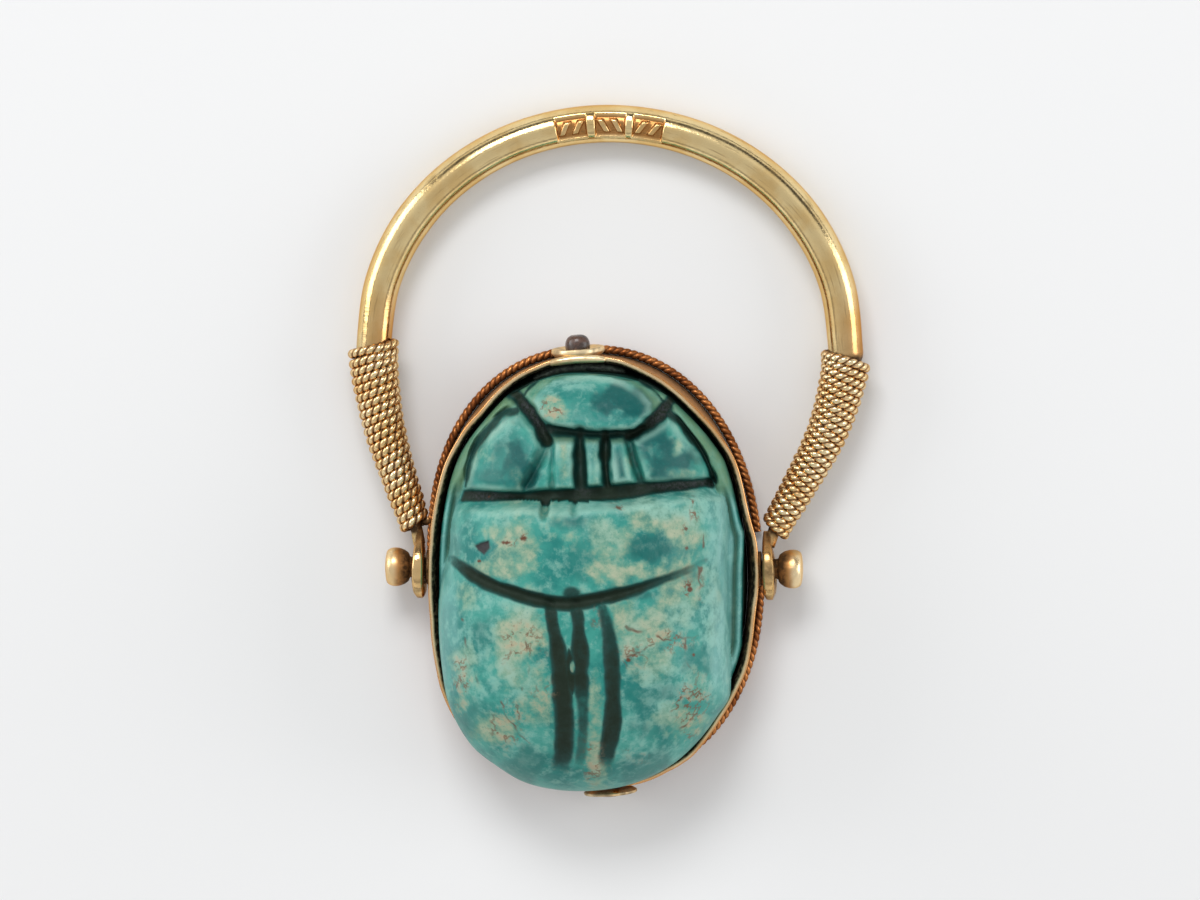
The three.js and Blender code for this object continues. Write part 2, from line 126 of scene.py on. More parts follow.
def layered_noise(points, cell, octaves=4, seed=0):
    total = 0
    size = 1.0
    for octave in range(octaves):
        total = total + size * noise(points, cell / 2**octave, seed + octave)
        size *= 0.5
    return total


def closed_curve(knots, angles):
    """Smooth periodic curve through (angle in degrees, value) knots."""
    knots = sorted(knots)
    at = np.array([knot[0] for knot in knots], float)
    value = np.array([knot[1] for knot in knots], float)
    at = np.concatenate([at[-2:] - 360, at, at[:2] + 360])
    value = np.concatenate([value[-2:], value, value[:2]])
    slope = np.gradient(value, at)
    turned = (np.degrees(angles) + 180) % 360 - 180
    place = np.clip(np.searchsorted(at, turned, side="right") - 1, 0, len(at) - 2)
    span = at[place + 1] - at[place]
    share = (turned - at[place]) / span
    low, high = value[place], value[place + 1]
    ease = share * share * (3 - 2 * share)
    rise = slope[place] * span * share * (1 - share) ** 2
    fall = slope[place + 1] * span * share * share * (share - 1)
    return low + (high - low) * ease + rise + fall


def polygon_distance(x, y, corners):
    """Distance from each point to a polygon's edge, positive inside."""
    corners = np.array(corners, float)
    ahead = np.roll(corners, -1, axis=0)
    nearest = np.full(x.shape, 1e9)
    inside = np.zeros(x.shape, bool)
    for (ax, ay), (bx, by) in zip(corners, ahead):
        along_x, along_y = bx - ax, by - ay
        share = ((x - ax) * along_x + (y - ay) * along_y) / (along_x**2 + along_y**2)
        share = np.clip(share, 0, 1)
        gap = np.hypot(x - ax - share * along_x, y - ay - share * along_y)
        nearest = np.minimum(nearest, gap)
        crosses = (ay > y) != (by > y)
        with np.errstate(divide="ignore", invalid="ignore"):
            meets = ax + (y - ay) / (by - ay) * along_x
        inside ^= crosses & (x < meets)
    return np.where(inside, nearest, -nearest)


def smooth_line(knots, steps):
    """Points on a smooth open line through the knots."""
    knots = np.array(knots, float)
    padded = np.vstack([2 * knots[0] - knots[1], knots, 2 * knots[-1] - knots[-2]])
    share = np.linspace(0, len(knots) - 1, steps)
    place = np.minimum(share.astype(int), len(knots) - 2)
    t = (share - place)[:, None]
    a, b, c, d = (padded[place + k] for k in range(4))
    return 0.5 * (
        2 * b + (c - a) * t + (2 * a - 5 * b + 4 * c - d) * t**2 + (3 * b - a - 3 * c + d) * t**3
    )


def line_distance(x, y, knots, steps=70):
    """Distance from each point to a smooth line, and how far along the line it lies."""
    line = smooth_line(knots, steps)
    nearest = np.full(x.shape, 1e9)
    along = np.zeros(x.shape)
    for step in range(steps - 1):
        (ax, ay), (bx, by) = line[step], line[step + 1]
        ex, ey = bx - ax, by - ay
        share = np.clip(((x - ax) * ex + (y - ay) * ey) / (ex * ex + ey * ey), 0, 1)
        gap = np.hypot(x - ax - share * ex, y - ay - share * ey)
        closer = gap < nearest
        nearest = np.where(closer, gap, nearest)
        along = np.where(closer, (step + share) / (steps - 1), along)
    return nearest, along


# Mesh builders


def make_mesh(name, points, faces, material, attributes=None, smooth_faces=True):
    """Object from points in millimetres and a list or array of faces."""
    mesh = bpy.data.meshes.new(name)
    mesh.from_pydata((np.asarray(points) * MM).tolist(), [], [list(face) for face in faces])
    mesh.update()
    for key, values in (attributes or {}).items():
        layer = mesh.attributes.new(key, "FLOAT", "POINT")
        layer.data.foreach_set("value", np.asarray(values, np.float32).ravel())
    mesh.materials.append(material)
    mesh.polygons.foreach_set("use_smooth", [smooth_faces] * len(mesh.polygons))
    thing = bpy.data.objects.new(name, mesh)
    bpy.context.scene.collection.objects.link(thing)
    return thing


def grid_faces(rows, columns, close_rows=False, close_columns=True, start=0):
    """Quads of a grid of points numbered row by row."""
    row_count = rows if close_rows else rows - 1
    column_count = columns if close_columns else columns - 1
    r, c = np.meshgrid(np.arange(row_count), np.arange(column_count), indexing="ij")
    next_r, next_c = (r + 1) % rows, (c + 1) % columns
    quads = [r * columns + c, r * columns + next_c, next_r * columns + next_c, next_r * columns + c]
    return (np.stack(quads, -1).reshape(-1, 4) + start).tolist()


def cap_faces(ring, hub, flip):
    """Fan of triangles from a hub point to a ring of point numbers."""
    pairs = zip(ring, ring[1:] + ring[:1])
    return [(hub, b, a) if flip else (hub, a, b) for a, b in pairs]


def facing_out(points, faces):
    """The faces of a closed skin, all turned round if they face into it."""
    triangles = [(face[0], face[k], face[k + 1]) for face in faces for k in range(1, len(face) - 1)]
    a, b, c = np.moveaxis(np.asarray(points)[np.array(triangles)], 1, 0)
    volume = np.einsum("ij,ij->i", a, np.cross(b, c)).sum()
    return faces if volume > 0 else [face[::-1] for face in faces]


def loft(rings, closed=False):
    """Points and faces of a skin through rings of points, capped unless its ends join."""
    rings = np.asarray(rings, float)
    rows, columns = rings.shape[:2]
    points = rings.reshape(-1, 3)
    faces = grid_faces(rows, columns, close_rows=closed)
    if not closed:
        hubs = np.array([rings[0].mean(0), rings[-1].mean(0)])
        points = np.vstack([points, hubs])
        first = list(range(columns))
        last = list(range((rows - 1) * columns, rows * columns))
        faces += cap_faces(first, rows * columns, True)
        faces += cap_faces(last, rows * columns + 1, False)
    return points, facing_out(points, faces)


def with_ends(values, end):
    """Values of a loft's rings, followed by one for the middle of each of its two caps."""
    return np.concatenate([values.ravel(), [end, end]])


def turned(profile, direction, centre, segments=64, wobble=0.0, seed=0):
    """Solid of revolution from (radius, distance along direction) pairs."""
    direction = np.array(direction, float) / np.linalg.norm(direction)
    side = np.cross(direction, (0, 0, 1))
    up = np.cross(side, direction)
    angles = np.linspace(0, TURN, segments, endpoint=False)
    rings = []
    for radius, along in profile:
        around = np.cos(angles)[:, None] * side + np.sin(angles)[:, None] * up
        rings.append(np.array(centre) + along * direction + radius * around)
    rings = np.array(rings)
    if wobble:
        rings = rings + wobble * layered_noise(rings, 0.5, 2, seed)[..., None] * up
    return rings


def rounded_profile(corners, radius, steps=5):
    """Profile through corners with each inner corner rounded off."""
    corners = [np.array(corner, float) for corner in corners]
    out = [corners[0]]
    for before, corner, after in zip(corners, corners[1:], corners[2:]):
        back_length, on_length = np.linalg.norm(before - corner), np.linalg.norm(after - corner)
        reach = min(radius, 0.45 * back_length, 0.45 * on_length)
        start = corner + (before - corner) / back_length * reach
        end = corner + (after - corner) / on_length * reach
        for step in range(steps + 1):
            t = step / steps
            out.append((1 - t) ** 2 * start + 2 * t * (1 - t) * corner + t * t * end)
    out.append(corners[-1])
    return [tuple(point) for point in out]


def swept(points, radius, ups, sides):
    """Rings of a round wire along a line of points, each with its own up direction."""
    points = np.asarray(points, float)
    ahead = np.gradient(points, axis=0)
    ahead /= np.linalg.norm(ahead, axis=1)[:, None]
    side = np.cross(ahead, ups)
    side /= np.linalg.norm(side, axis=1)[:, None]
    up = np.cross(side, ahead)
    angles = np.linspace(0, TURN, sides, endpoint=False)
    radius = np.broadcast_to(radius, len(points))[:, None, None]
    around = np.cos(angles)[None, :, None] * side[:, None] + np.sin(angles)[None, :, None] * up[:, None]
    return points[:, None] + radius * around


# Materials

# How far the noise of a wire's streaks moves for a millimetre along it and for a radius across it
STREAK_ALONG = 0.0008
STREAK_AROUND = 0.008


class Nodes:
    """Short way to write a node tree."""

    def __init__(self, name):
        self.material = bpy.data.materials.new(name)
        self.material.use_nodes = True
        self.tree = self.material.node_tree
        self.shader = self.tree.nodes["Principled BSDF"]
        self.place = self.tree.nodes.new("ShaderNodeTexCoord").outputs["Object"]

    def link(self, source, socket):
        if isinstance(source, (int, float)):
            socket.default_value = source
        elif isinstance(source, tuple):
            socket.default_value = (*source, 1) if len(source) == 3 else source
        else:
            self.tree.links.new(source, socket)

    def attribute(self, name):
        node = self.tree.nodes.new("ShaderNodeAttribute")
        node.attribute_name = name
        return node.outputs["Fac"]

    def wire_place(self):
        """Place along and round a wire, long along it and short across it."""
        node = self.tree.nodes.new("ShaderNodeCombineXYZ")
        self.link(self.times(self.attribute("along"), STREAK_ALONG), node.inputs[0])
        self.link(self.times(self.attribute("around"), STREAK_AROUND), node.inputs[1])
        return node.outputs[0]

    def noise(self, cell_mm, detail=4.0, roughness=0.55, stretch=(1, 1, 1), distortion=0.0, place=None):
        scale = self.tree.nodes.new("ShaderNodeMapping")
        scale.inputs["Scale"].default_value = [part / (cell_mm * MM) for part in stretch]
        self.link(place or self.place, scale.inputs["Vector"])
        node = self.tree.nodes.new("ShaderNodeTexNoise")
        node.inputs["Scale"].default_value = 1.0
        node.inputs["Detail"].default_value = detail
        node.inputs["Roughness"].default_value = roughness
        node.inputs["Distortion"].default_value = distortion
        self.link(scale.outputs["Vector"], node.inputs["Vector"])
        return node.outputs["Fac"]

    def maths(self, operation, a, b=0.0):
        node = self.tree.nodes.new("ShaderNodeMath")
        node.operation = operation
        self.link(a, node.inputs[0])
        self.link(b, node.inputs[1])
        return node.outputs[0]

    def times(self, a, b):
        return self.maths("MULTIPLY", a, b)

    def plus(self, a, b):
        return self.maths("ADD", a, b)

    def from_middle(self, noise):
        return self.maths("SUBTRACT", noise, 0.5)

    def ramp(self, value, low, high, to_low=0.0, to_high=1.0):
        node = self.tree.nodes.new("ShaderNodeMapRange")
        node.interpolation_type = "SMOOTHSTEP"
        self.link(value, node.inputs["Value"])
        node.inputs["From Min"].default_value = low
        node.inputs["From Max"].default_value = high
        node.inputs["To Min"].default_value = to_low
        node.inputs["To Max"].default_value = to_high
        return node.outputs["Result"]

    def coats(self, color, layers):
        """Colour of a ground painted over in turn with (share, colour) layers."""
        for share, tone in layers:
            node = self.tree.nodes.new("ShaderNodeMix")
            node.data_type = "RGBA"
            self.link(share, node.inputs[0])
            self.link(color, node.inputs[6])
            self.link(tone, node.inputs[7])
            color = node.outputs[2]
        return color

    def bump(self, height, strength, distance_mm, before=None):
        node = self.tree.nodes.new("ShaderNodeBump")
        node.inputs["Strength"].default_value = strength
        node.inputs["Distance"].default_value = distance_mm * MM
        self.link(height, node.inputs["Height"])
        if before is not None:
            self.link(before, node.inputs["Normal"])
        return node.outputs["Normal"]

    def finish(self, color, roughness, normal=None, metallic=0.0, **values):
        self.link(color, self.shader.inputs["Base Color"])
        self.link(roughness, self.shader.inputs["Roughness"])
        self.link(metallic, self.shader.inputs["Metallic"])
        if normal is not None:
            self.link(normal, self.shader.inputs["Normal"])
        for key, value in values.items():
            self.shader.inputs[key.replace("_", " ")].default_value = value
        return self.material


# Orange-brown painted shade, laid on the gold where the mesh's warm share is high
WARM_SHADE_GOLD = (0.60, 0.25, 0.06)
EDGE_TINT = (0.85, 0.62, 0.40, 1)
GOLD_DIRT_AND_SHADE = (0.055, 0.028, 0.012)
# Each gold: (bright tone, deep tone, colour of dirt and painted shade, roughness)
GOLD_TONES = {
    "hoop_gold": ((0.90, 0.70, 0.36), (0.80, 0.56, 0.24), GOLD_DIRT_AND_SHADE, 0.15),
    "lip_gold": ((0.96, 0.76, 0.46), (0.86, 0.55, 0.27), (0.012, 0.010, 0.007), 0.24),
    "wrap_gold": ((0.95, 0.78, 0.47), (0.86, 0.60, 0.28), (0.050, 0.020, 0.008), 0.2),
    # The border's gold is a shaded copy: the same gold painted the dark red-brown it looks in shade
    "shaded_border_gold": ((0.56, 0.22, 0.07), (0.27, 0.085, 0.025), (0.07, 0.02, 0.008), 0.38),
    "fitting_gold": ((0.98, 0.80, 0.50), (0.88, 0.64, 0.34), GOLD_DIRT_AND_SHADE, 0.32),
}


def gold_material(name, bright, deep, dirt_and_shade, roughness):
    """Worn gold: colour drifts between two tones, with dirt and painted shade, and a warm painted shade,
    where the mesh says so.
    """
    n = Nodes(name)
    drift = n.ramp(n.noise(1.6, 3.0), 0.38, 0.64)
    speck = n.ramp(n.noise(0.16, 3.0, 0.6), 0.62, 0.72)
    patchy = n.ramp(n.noise(0.22, 4.0, 0.65), 0.3, 0.7, 0.75, 1.25)
    # The dirt share holds real dirt and also painted shade in recesses, crevices and under other parts
    dirt_and_shade_share = n.maths("MINIMUM", n.times(n.attribute("dirt_and_shade"), patchy), 1.0)
    streak = n.ramp(n.noise(1.0, 3.0, 0.6, place=n.wire_place()), 0.56, 0.72)
    streak_tone = tuple(0.45 * part for part in deep)
    color = n.coats(bright, [
        (drift, deep), (n.times(speck, 0.45), deep), (n.times(n.attribute("warm_shade"), 0.85), WARM_SHADE_GOLD),
        (dirt_and_shade_share, dirt_and_shade), (n.times(streak, 0.5), streak_tone),
    ])
    scratches = n.plus(
        n.noise(0.5, 2.0, 0.5, stretch=(1.0, 9.0, 1.0)), n.noise(0.5, 2.0, 0.5, stretch=(9.0, 1.0, 2.0)))
    rough = n.ramp(n.noise(0.4, 4.0, 0.6), 0.3, 0.7, roughness * 0.8, roughness * 1.35)
    rough = n.plus(rough, n.times(dirt_and_shade_share, 0.3))
    dents = n.bump(n.noise(0.3, 3.0, 0.5), 0.25, 0.02, n.bump(scratches, 0.12, 0.02))
    metal = n.maths("SUBTRACT", 1.0, n.times(dirt_and_shade_share, 0.7))
    return n.finish(color, rough, dents, metallic=metal, Specular_Tint=EDGE_TINT)


def rivet_material():
    n = Nodes("rivet_dark")
    brown = n.ramp(n.noise(0.35, 3.0), 0.35, 0.65)
    color = n.coats((0.035, 0.020, 0.016), [(brown, (0.10, 0.05, 0.035))])
    rough = n.ramp(n.noise(0.2, 3.0), 0.3, 0.7, 0.16, 0.4)
    return n.finish(color, rough, n.bump(n.noise(0.15, 3.0), 0.2, 0.02), Specular_IOR_Level=0.7)


def cement_material():
    n = Nodes("dark_cement")
    dusty = n.ramp(n.noise(0.2, 4.0), 0.35, 0.65)
    color = n.coats((0.006, 0.010, 0.008), [(dusty, (0.045, 0.06, 0.045))])
    return n.finish(color, 0.6, n.bump(n.noise(0.1, 4.0), 0.6, 0.05))


TURQUOISE = (0.045, 0.305, 0.252)
TEAL = (0.010, 0.185, 0.164)
DEEP_TEAL = (0.001, 0.078, 0.076)
PALE = (0.22, 0.49, 0.42)
GREEN = (0.125, 0.250, 0.130)
SANDY_GREEN = (0.23, 0.37, 0.25)
SAND = (0.42, 0.46, 0.32)
OLIVE_AND_SHADE = (0.035, 0.085, 0.032)
POOL_AND_SHADE_GREEN = (0.006, 0.050, 0.042)
BLACK_GREEN = (0.009, 0.021, 0.011)
PALE_BLUE = (0.29, 0.57, 0.54)
WORN_EDGE = (0.30, 0.54, 0.45)
DUST_GREY = (0.050, 0.056, 0.062)
BLUSH = (0.42, 0.30, 0.19)
VEIN_BROWN = (0.17, 0.062, 0.026)
STAIN_BROWN = (0.12, 0.045, 0.022)
CHIP_BLACK = (0.016, 0.016, 0.018)


def glaze_material():
    """Mottled turquoise glaze, dark in the carving where it pooled and where shade is painted, with painted
    highlights and olive painted shade, and sandy where it is worn.
    """
    n = Nodes("turquoise_glaze")
    cloud = n.noise(1.9, 5.0, 0.6, distortion=0.3)
    fine = n.noise(0.45, 6.0, 0.62)
    tiny = n.noise(0.11, 4.0, 0.6)
    worn = n.plus(n.attribute("sand"), n.times(n.from_middle(fine), 2.4))
    pooled = n.plus(n.attribute("teal"), n.times(n.from_middle(cloud), 1.2))
    deep = n.plus(n.attribute("groove"), n.times(n.from_middle(fine), 0.5))
    rust = n.attribute("rust")
    vein = n.ramp(n.maths("ABSOLUTE", n.from_middle(n.noise(1.1, 4.0, 0.62)), 0.0), 0.032, 0.006)
    vein = n.times(vein, n.ramp(n.noise(0.4, 2.0), 0.38, 0.54))
    color = n.coats(TEAL, [
        (n.ramp(cloud, 0.36, 0.60), TURQUOISE),
        (n.times(n.ramp(fine, 0.46, 0.70), 0.6), PALE),
        (n.times(n.ramp(worn, 0.05, 1.15), 0.9), SANDY_GREEN),
        (n.times(n.ramp(worn, 0.65, 1.5), 0.9), SAND),
        (n.times(n.attribute("pale"), n.ramp(fine, 0.36, 0.60, 0.1, 0.85)), PALE),
        (n.times(n.ramp(pooled, 0.15, 1.0), 0.9), DEEP_TEAL),
        # Pale blue: a painted highlight down the sides, and the band's low outer edge
        (n.attribute("blue"), PALE_BLUE),
        (n.attribute("edge"), WORN_EDGE),
        (n.times(n.attribute("green"), n.ramp(cloud, 0.3, 0.6, 0.95, 0.6)), GREEN),
        # Olive: mottled glaze and painted shade
        (n.attribute("olive_and_shade"), OLIVE_AND_SHADE),
        (n.times(n.ramp(tiny, 0.56, 0.70), 0.35), TEAL),
        # Dark greens in the cuts: pooled glaze and painted shade
        (n.ramp(deep, 0.10, 0.60), POOL_AND_SHADE_GREEN),
        (n.ramp(deep, 0.50, 1.00), BLACK_GREEN),
        (n.times(n.attribute("grey"), n.ramp(tiny, 0.36, 0.66)), DUST_GREY),
        (n.times(rust, n.ramp(fine, 0.50, 0.64, 0.0, 0.6)), BLUSH),
        (n.times(n.times(rust, vein), 0.9), VEIN_BROWN),
        (n.attribute("stain"), STAIN_BROWN),
        (n.attribute("chip"), CHIP_BLACK),
    ])
    rough = n.ramp(fine, 0.3, 0.7, 0.30, 0.50)
    rough = n.plus(rough, n.times(n.attribute("sand"), 0.12))
    rough = n.plus(rough, n.times(n.attribute("groove"), 0.3))
    normal = n.bump(tiny, 0.25, 0.02, n.bump(fine, 0.35, 0.06))
    return n.finish(color, rough, normal, Specular_IOR_Level=0.28)


golds = {name: gold_material(name, *tones) for name, tones in GOLD_TONES.items()}
rivet_dark = rivet_material()
dark_cement = cement_material()
turquoise_glaze = glaze_material()

# Setting: the wall, its lip and the twisted border


def oval(turn, half_width, half_length, roundness):
    along, across = np.cos(turn), np.sin(turn)
    x = half_width * np.sign(along) * np.abs(along) ** (2 / roundness)
    y = half_length * np.sign(across) * np.abs(across) ** (2 / roundness)
    return x, y


# How far the lip is bent out from the foot of the wall: (angle in degrees, millimetres)
LIP_BEND = [
    (-175, 0.30), (-162, 0.58), (-148, 0.80), (-135, 0.72), (-119, 0.46), (-90, 0.36),
    (-64, 0.27), (-44, 0.09), (-25, 0.18), (-12, 0.16), (-3, 0.30), (3, 0.29), (9, 0.14),
    (18, 0.15), (25, 0.22), (35, 0.09), (48, -0.05), (62, 0.0), (78, 0.14), (96, 0.17),
    (110, 0.05), (128, -0.08), (145, 0.06), (166, 0.10), (180, 0.22),
]


def setting_point(turn, growth, height):
    """Points of the foot oval grown by a distance, bent outward with height like the wall."""
    turn = np.asarray(turn, float)
    up_wall = np.clip(np.asarray(height, float) / WALL_HEIGHT, 0, 1.1)
    bend = closed_curve(LIP_BEND, turn) * up_wall**1.3
    x, y = oval(turn, BASE_HALF_WIDTH + growth + bend, BASE_HALF_LENGTH + growth + bend, BASE_ROUNDNESS)
    cos_lean, sin_lean = math.cos(SETTING_LEAN), math.sin(SETTING_LEAN)
    z = np.broadcast_to(np.asarray(height, float), x.shape)
    return np.stack([x * cos_lean - y * sin_lean, x * sin_lean + y * cos_lean, z], -1)


LIP_WAVE = 0.035
WALL_WAVE = 0.03
BOSS_RADIUS = 0.7


def make_bezel():
    """Gold strip wall with a rounded, slightly wavy lip; the bosses for the pins are made by make_boss."""
    inside, outside = SEAT_CLEARANCE, SEAT_CLEARANCE + WALL_THICKNESS
    section = rounded_profile(
        [(inside, 0.9), (inside, 0.02), (outside, 0.02), (outside, WALL_HEIGHT),
         (inside + 0.1, WALL_HEIGHT), (inside + 0.03, WALL_HEIGHT - 0.4), (inside, 0.9)], 0.1, 5)
    section = section[:-1]
    turns = np.linspace(0, TURN, 520, endpoint=False)
    around = np.stack([np.cos(turns), np.sin(turns), 0 * turns], -1) * 8
    up_and_down, in_and_out = layered_noise(around, 2.2, 3, 11), layered_noise(around, 1.3, 2, 23)
    rings = []
    for growth, height in section:
        ring = setting_point(turns, growth, height)
        near_lip = smooth(0.4, 1.0, height / WALL_HEIGHT)
        ring[:, 2] += LIP_WAVE * near_lip * up_and_down
        outward = ring[:, :2] / np.linalg.norm(ring[:, :2], axis=1)[:, None]
        ring[:, :2] += outward * (WALL_WAVE * near_lip * in_and_out)[:, None]
        rings.append(ring)
    points, faces = loft(rings, closed=True)
    growths = np.array([growth for growth, height in section])
    heights = np.array([height for growth, height in section])
    # Painted shade: the inner wall near black right up to the lip, the foot of the wall darker, and the outer
    # wall darker just under the lip; the outer wall also takes the warm painted shade
    inner_wall_shade = smooth(outside - 0.09, inside + 0.08, growths)
    foot = 0.5 * smooth(0.9, 0.2, heights)
    outer_warm_shade = smooth(inside + 0.19, outside - 0.01, growths)
    shade_below_lip = smooth(WALL_HEIGHT - 0.04, WALL_HEIGHT - 0.15, heights) * outer_warm_shade
    dirt_and_shade = np.clip(inner_wall_shade * 1.1 + foot + 0.6 * shade_below_lip, 0, 1)
    return points, faces, np.repeat(dirt_and_shade, len(turns)), np.repeat(outer_warm_shade, len(turns))


def make_boss(side):
    wall = setting_point(0.0 if side > 0 else math.pi, SEAT_CLEARANCE + WALL_THICKNESS * 0.5, AXIS_HEIGHT)
    start = abs(float(wall[0]))
    end = EAR_MIDDLE - EAR_THICKNESS / 2 - 0.04
    corners = [(0.01, start), (BOSS_RADIUS, start), (BOSS_RADIUS, end), (0.01, end)]
    return loft(turned(rounded_profile(corners, 0.05, 3), (side, 0, 0), (0, 0, AXIS_HEIGHT), 40))


def add_pieces(pieces):
    """One set of points, faces and shares of dirt and painted shade from several."""
    points, faces, dirt_and_shade = [], [], []
    count = 0
    for some_points, some_faces, some_dirt_and_shade in pieces:
        points.append(some_points)
        faces += [[index + count for index in face] for face in some_faces]
        dirt_and_shade.append(np.broadcast_to(some_dirt_and_shade, len(some_points)))
        count += len(some_points)
    return np.vstack(points), faces, np.concatenate(dirt_and_shade)


wall_points, wall_faces, wall_dirt_and_shade, wall_warm_shade = make_bezel()
# The bosses are painted as if in shade, dark and warm all over
bezel_parts = [(wall_points, wall_faces, wall_dirt_and_shade)] + [(*make_boss(side), 0.75) for side in (1, -1)]
bezel_points, bezel_faces, bezel_dirt_and_shade = add_pieces(bezel_parts)
boss_warm_shade = np.full(len(bezel_points) - len(wall_points), 0.8)
bezel = make_mesh("setting_wall", bezel_points, bezel_faces, golds["lip_gold"], {
    "dirt_and_shade": bezel_dirt_and_shade, "warm_shade": np.concatenate([wall_warm_shade, boss_warm_shade])})


def twisted_wire(centres, outwards, radius, twist_pitch, steps_per_pitch=16, sides=16):
    """Two strands twisted left-handed and rolled close: one skin with two sharp flutes."""
    steps = np.linalg.norm(np.diff(centres, axis=0), axis=1)
    length = np.concatenate([[0], np.cumsum(steps)])
    count = int(length[-1] / twist_pitch * steps_per_pitch)
    even = np.linspace(0, length[-1], count)
    centres = np.stack([np.interp(even, length, centres[:, k]) for k in range(3)], -1)
    outwards = np.stack([np.interp(even, length, outwards[:, k]) for k in range(3)], -1)
    ahead = np.gradient(centres, axis=0)
    ahead /= np.linalg.norm(ahead, axis=1)[:, None]
    outwards -= (outwards * ahead).sum(1)[:, None] * ahead
    outwards /= np.linalg.norm(outwards, axis=1)[:, None]
    across = np.cross(ahead, outwards)
    strand_angle = np.linspace(0, TURN, sides, endpoint=False)[None, :]
    strand = np.abs(np.cos(strand_angle)) + 0 * even[:, None]
    angle = strand_angle - TURN * even[:, None] / twist_pitch
    reach = radius * (0.66 + 0.34 * strand**0.62)
    direction = np.cos(angle)[..., None] * outwards[:, None] + np.sin(angle)[..., None] * across[:, None]
    points, faces = loft(centres[:, None] + reach[..., None] * direction)
    # Painted shade in the flutes between the strands and on the side turned away from the outside, and a warm
    # painted shade in the flutes and on that side
    shade_between_strands = smooth(0.62, 0.12, strand)
    below = smooth(0.45, -0.25, np.cos(angle))
    dirt_and_shade = np.clip(shade_between_strands + below, 0, 1)
    warm_shade = np.clip(smooth(0.8, 0.35, strand) + smooth(0.85, 0.4, np.cos(angle)), 0, 1)
    return points, faces, with_ends(dirt_and_shade, 0.8), with_ends(warm_shade, 0.8)


BORDER_GAP = 0.85
BORDER_TWIST_PITCH = 0.56


def make_border(side):
    """One arc of the twisted border, from pin to pin."""
    gap_turn = math.asin((BORDER_GAP / (BASE_HALF_LENGTH + 0.45)) ** (BASE_ROUNDNESS / 2))
    turns = side * np.linspace(gap_turn, math.pi - gap_turn, 600)
    growth = SEAT_CLEARANCE + WALL_THICKNESS + 0.02 + BORDER_RADIUS
    centres = setting_point(turns, growth, BORDER_RADIUS + 0.01)
    outward = setting_point(turns, growth + 0.3, BORDER_RADIUS + 0.01) - centres
    outward /= np.linalg.norm(outward, axis=1)[:, None]
    return twisted_wire(centres, outward + np.array([0, 0, 0.8]), BORDER_RADIUS, BORDER_TWIST_PITCH)


pieces = {"bezel": bezel}
for node, side in (("border_upper", 1), ("border_lower", -1)):
    points, faces, dirt_and_shade, _ = make_border(side)
    # The border keeps the twisted wire's painted shade, at four fifths
    pieces[node] = make_mesh(node + "_twist", points, faces, golds["shaded_border_gold"], {"dirt_and_shade": dirt_and_shade * 0.8})

# Rivet ends: a dished collar on the wall, with the domed dark end of the rivet in it

HEADWARD = np.array([-math.sin(SETTING_LEAN), math.cos(SETTING_LEAN), 0])


def rivet_start(side):
    """Distance along the rivet from the ring's middle to a collar's inner face."""
    low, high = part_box("rivet_collar_top" if side > 0 else "rivet_collar_bottom")
    middle = (low + high) / 2 / MM
    return abs(float(np.dot(HEADWARD, np.array(middle)))) - collar_thickness(side) / 2


def collar_thickness(side):
    return 0.38 if side > 0 else 0.22


def make_collar(side):
    start = rivet_start(side)
    thick = collar_thickness(side)
    profile = rounded_profile(
        [(0.5, start), (0.9, start), (1.08, start + 0.5 * thick), (1.05, start + thick),
         (0.6, start + 0.7 * thick), (0.52, start + 0.5 * thick), (0.5, start)], 0.06, 4)
    rings = turned(profile[:-1], HEADWARD * side, (0, 0, RIVET_HEIGHT), 72, 0.02, 5)
    return loft(rings, closed=True)


STUD_RADIUS = 0.49


def make_stud(side):
    start = rivet_start(side)
    crown = start + collar_thickness(side)
    proud = 0.5 if side > 0 else 0.12
    profile = [(0.02, start), (STUD_RADIUS - 0.01, start + 0.02), (STUD_RADIUS, crown - 0.08)]
    for a in np.linspace(0, math.pi / 2, 14):
        profile.append((STUD_RADIUS * math.cos(a) ** 0.62 + 0.01, crown + proud * math.sin(a) ** 0.85))
    rings = turned(profile, HEADWARD * side, (0, 0, RIVET_HEIGHT), 40, 0.03, 9)
    return loft(rings)


def make_lip_strip():
    """Short thick strip soldered along the lip beside the head collar."""
    turns = np.radians(np.linspace(81.5, 98.5, 40))
    centres = setting_point(turns, SEAT_CLEARANCE + WALL_THICKNESS * 0.55, WALL_HEIGHT - 0.04)
    ends = np.sin(np.linspace(0, math.pi, 40)) ** 0.35
    return loft(swept(centres, 0.06 + 0.12 * ends, np.array([0, 0, 1.0]) + 0 * centres, 16))


for side, word in ((1, "top"), (-1, "bottom")):
    points, faces = make_collar(side)
    if side > 0:
        points, faces, _ = add_pieces([(points, faces, 0), (*make_lip_strip(), 0)])
    collar_dirt = np.clip(0.25 + 0.5 * layered_noise(points, 0.3, 3, 3), 0, 0.6)
    pieces["rivet_collar_" + word] = make_mesh(
        "collar_" + word, points, faces, golds["fitting_gold"], {"dirt_and_shade": collar_dirt})
    pieces["rivet_head_" + word] = make_mesh("stud_" + word, *make_stud(side), rivet_dark)

# Swivel pins


PIN_NECK_LENGTH = 0.19
PIN_HEAD_LENGTH = 0.93


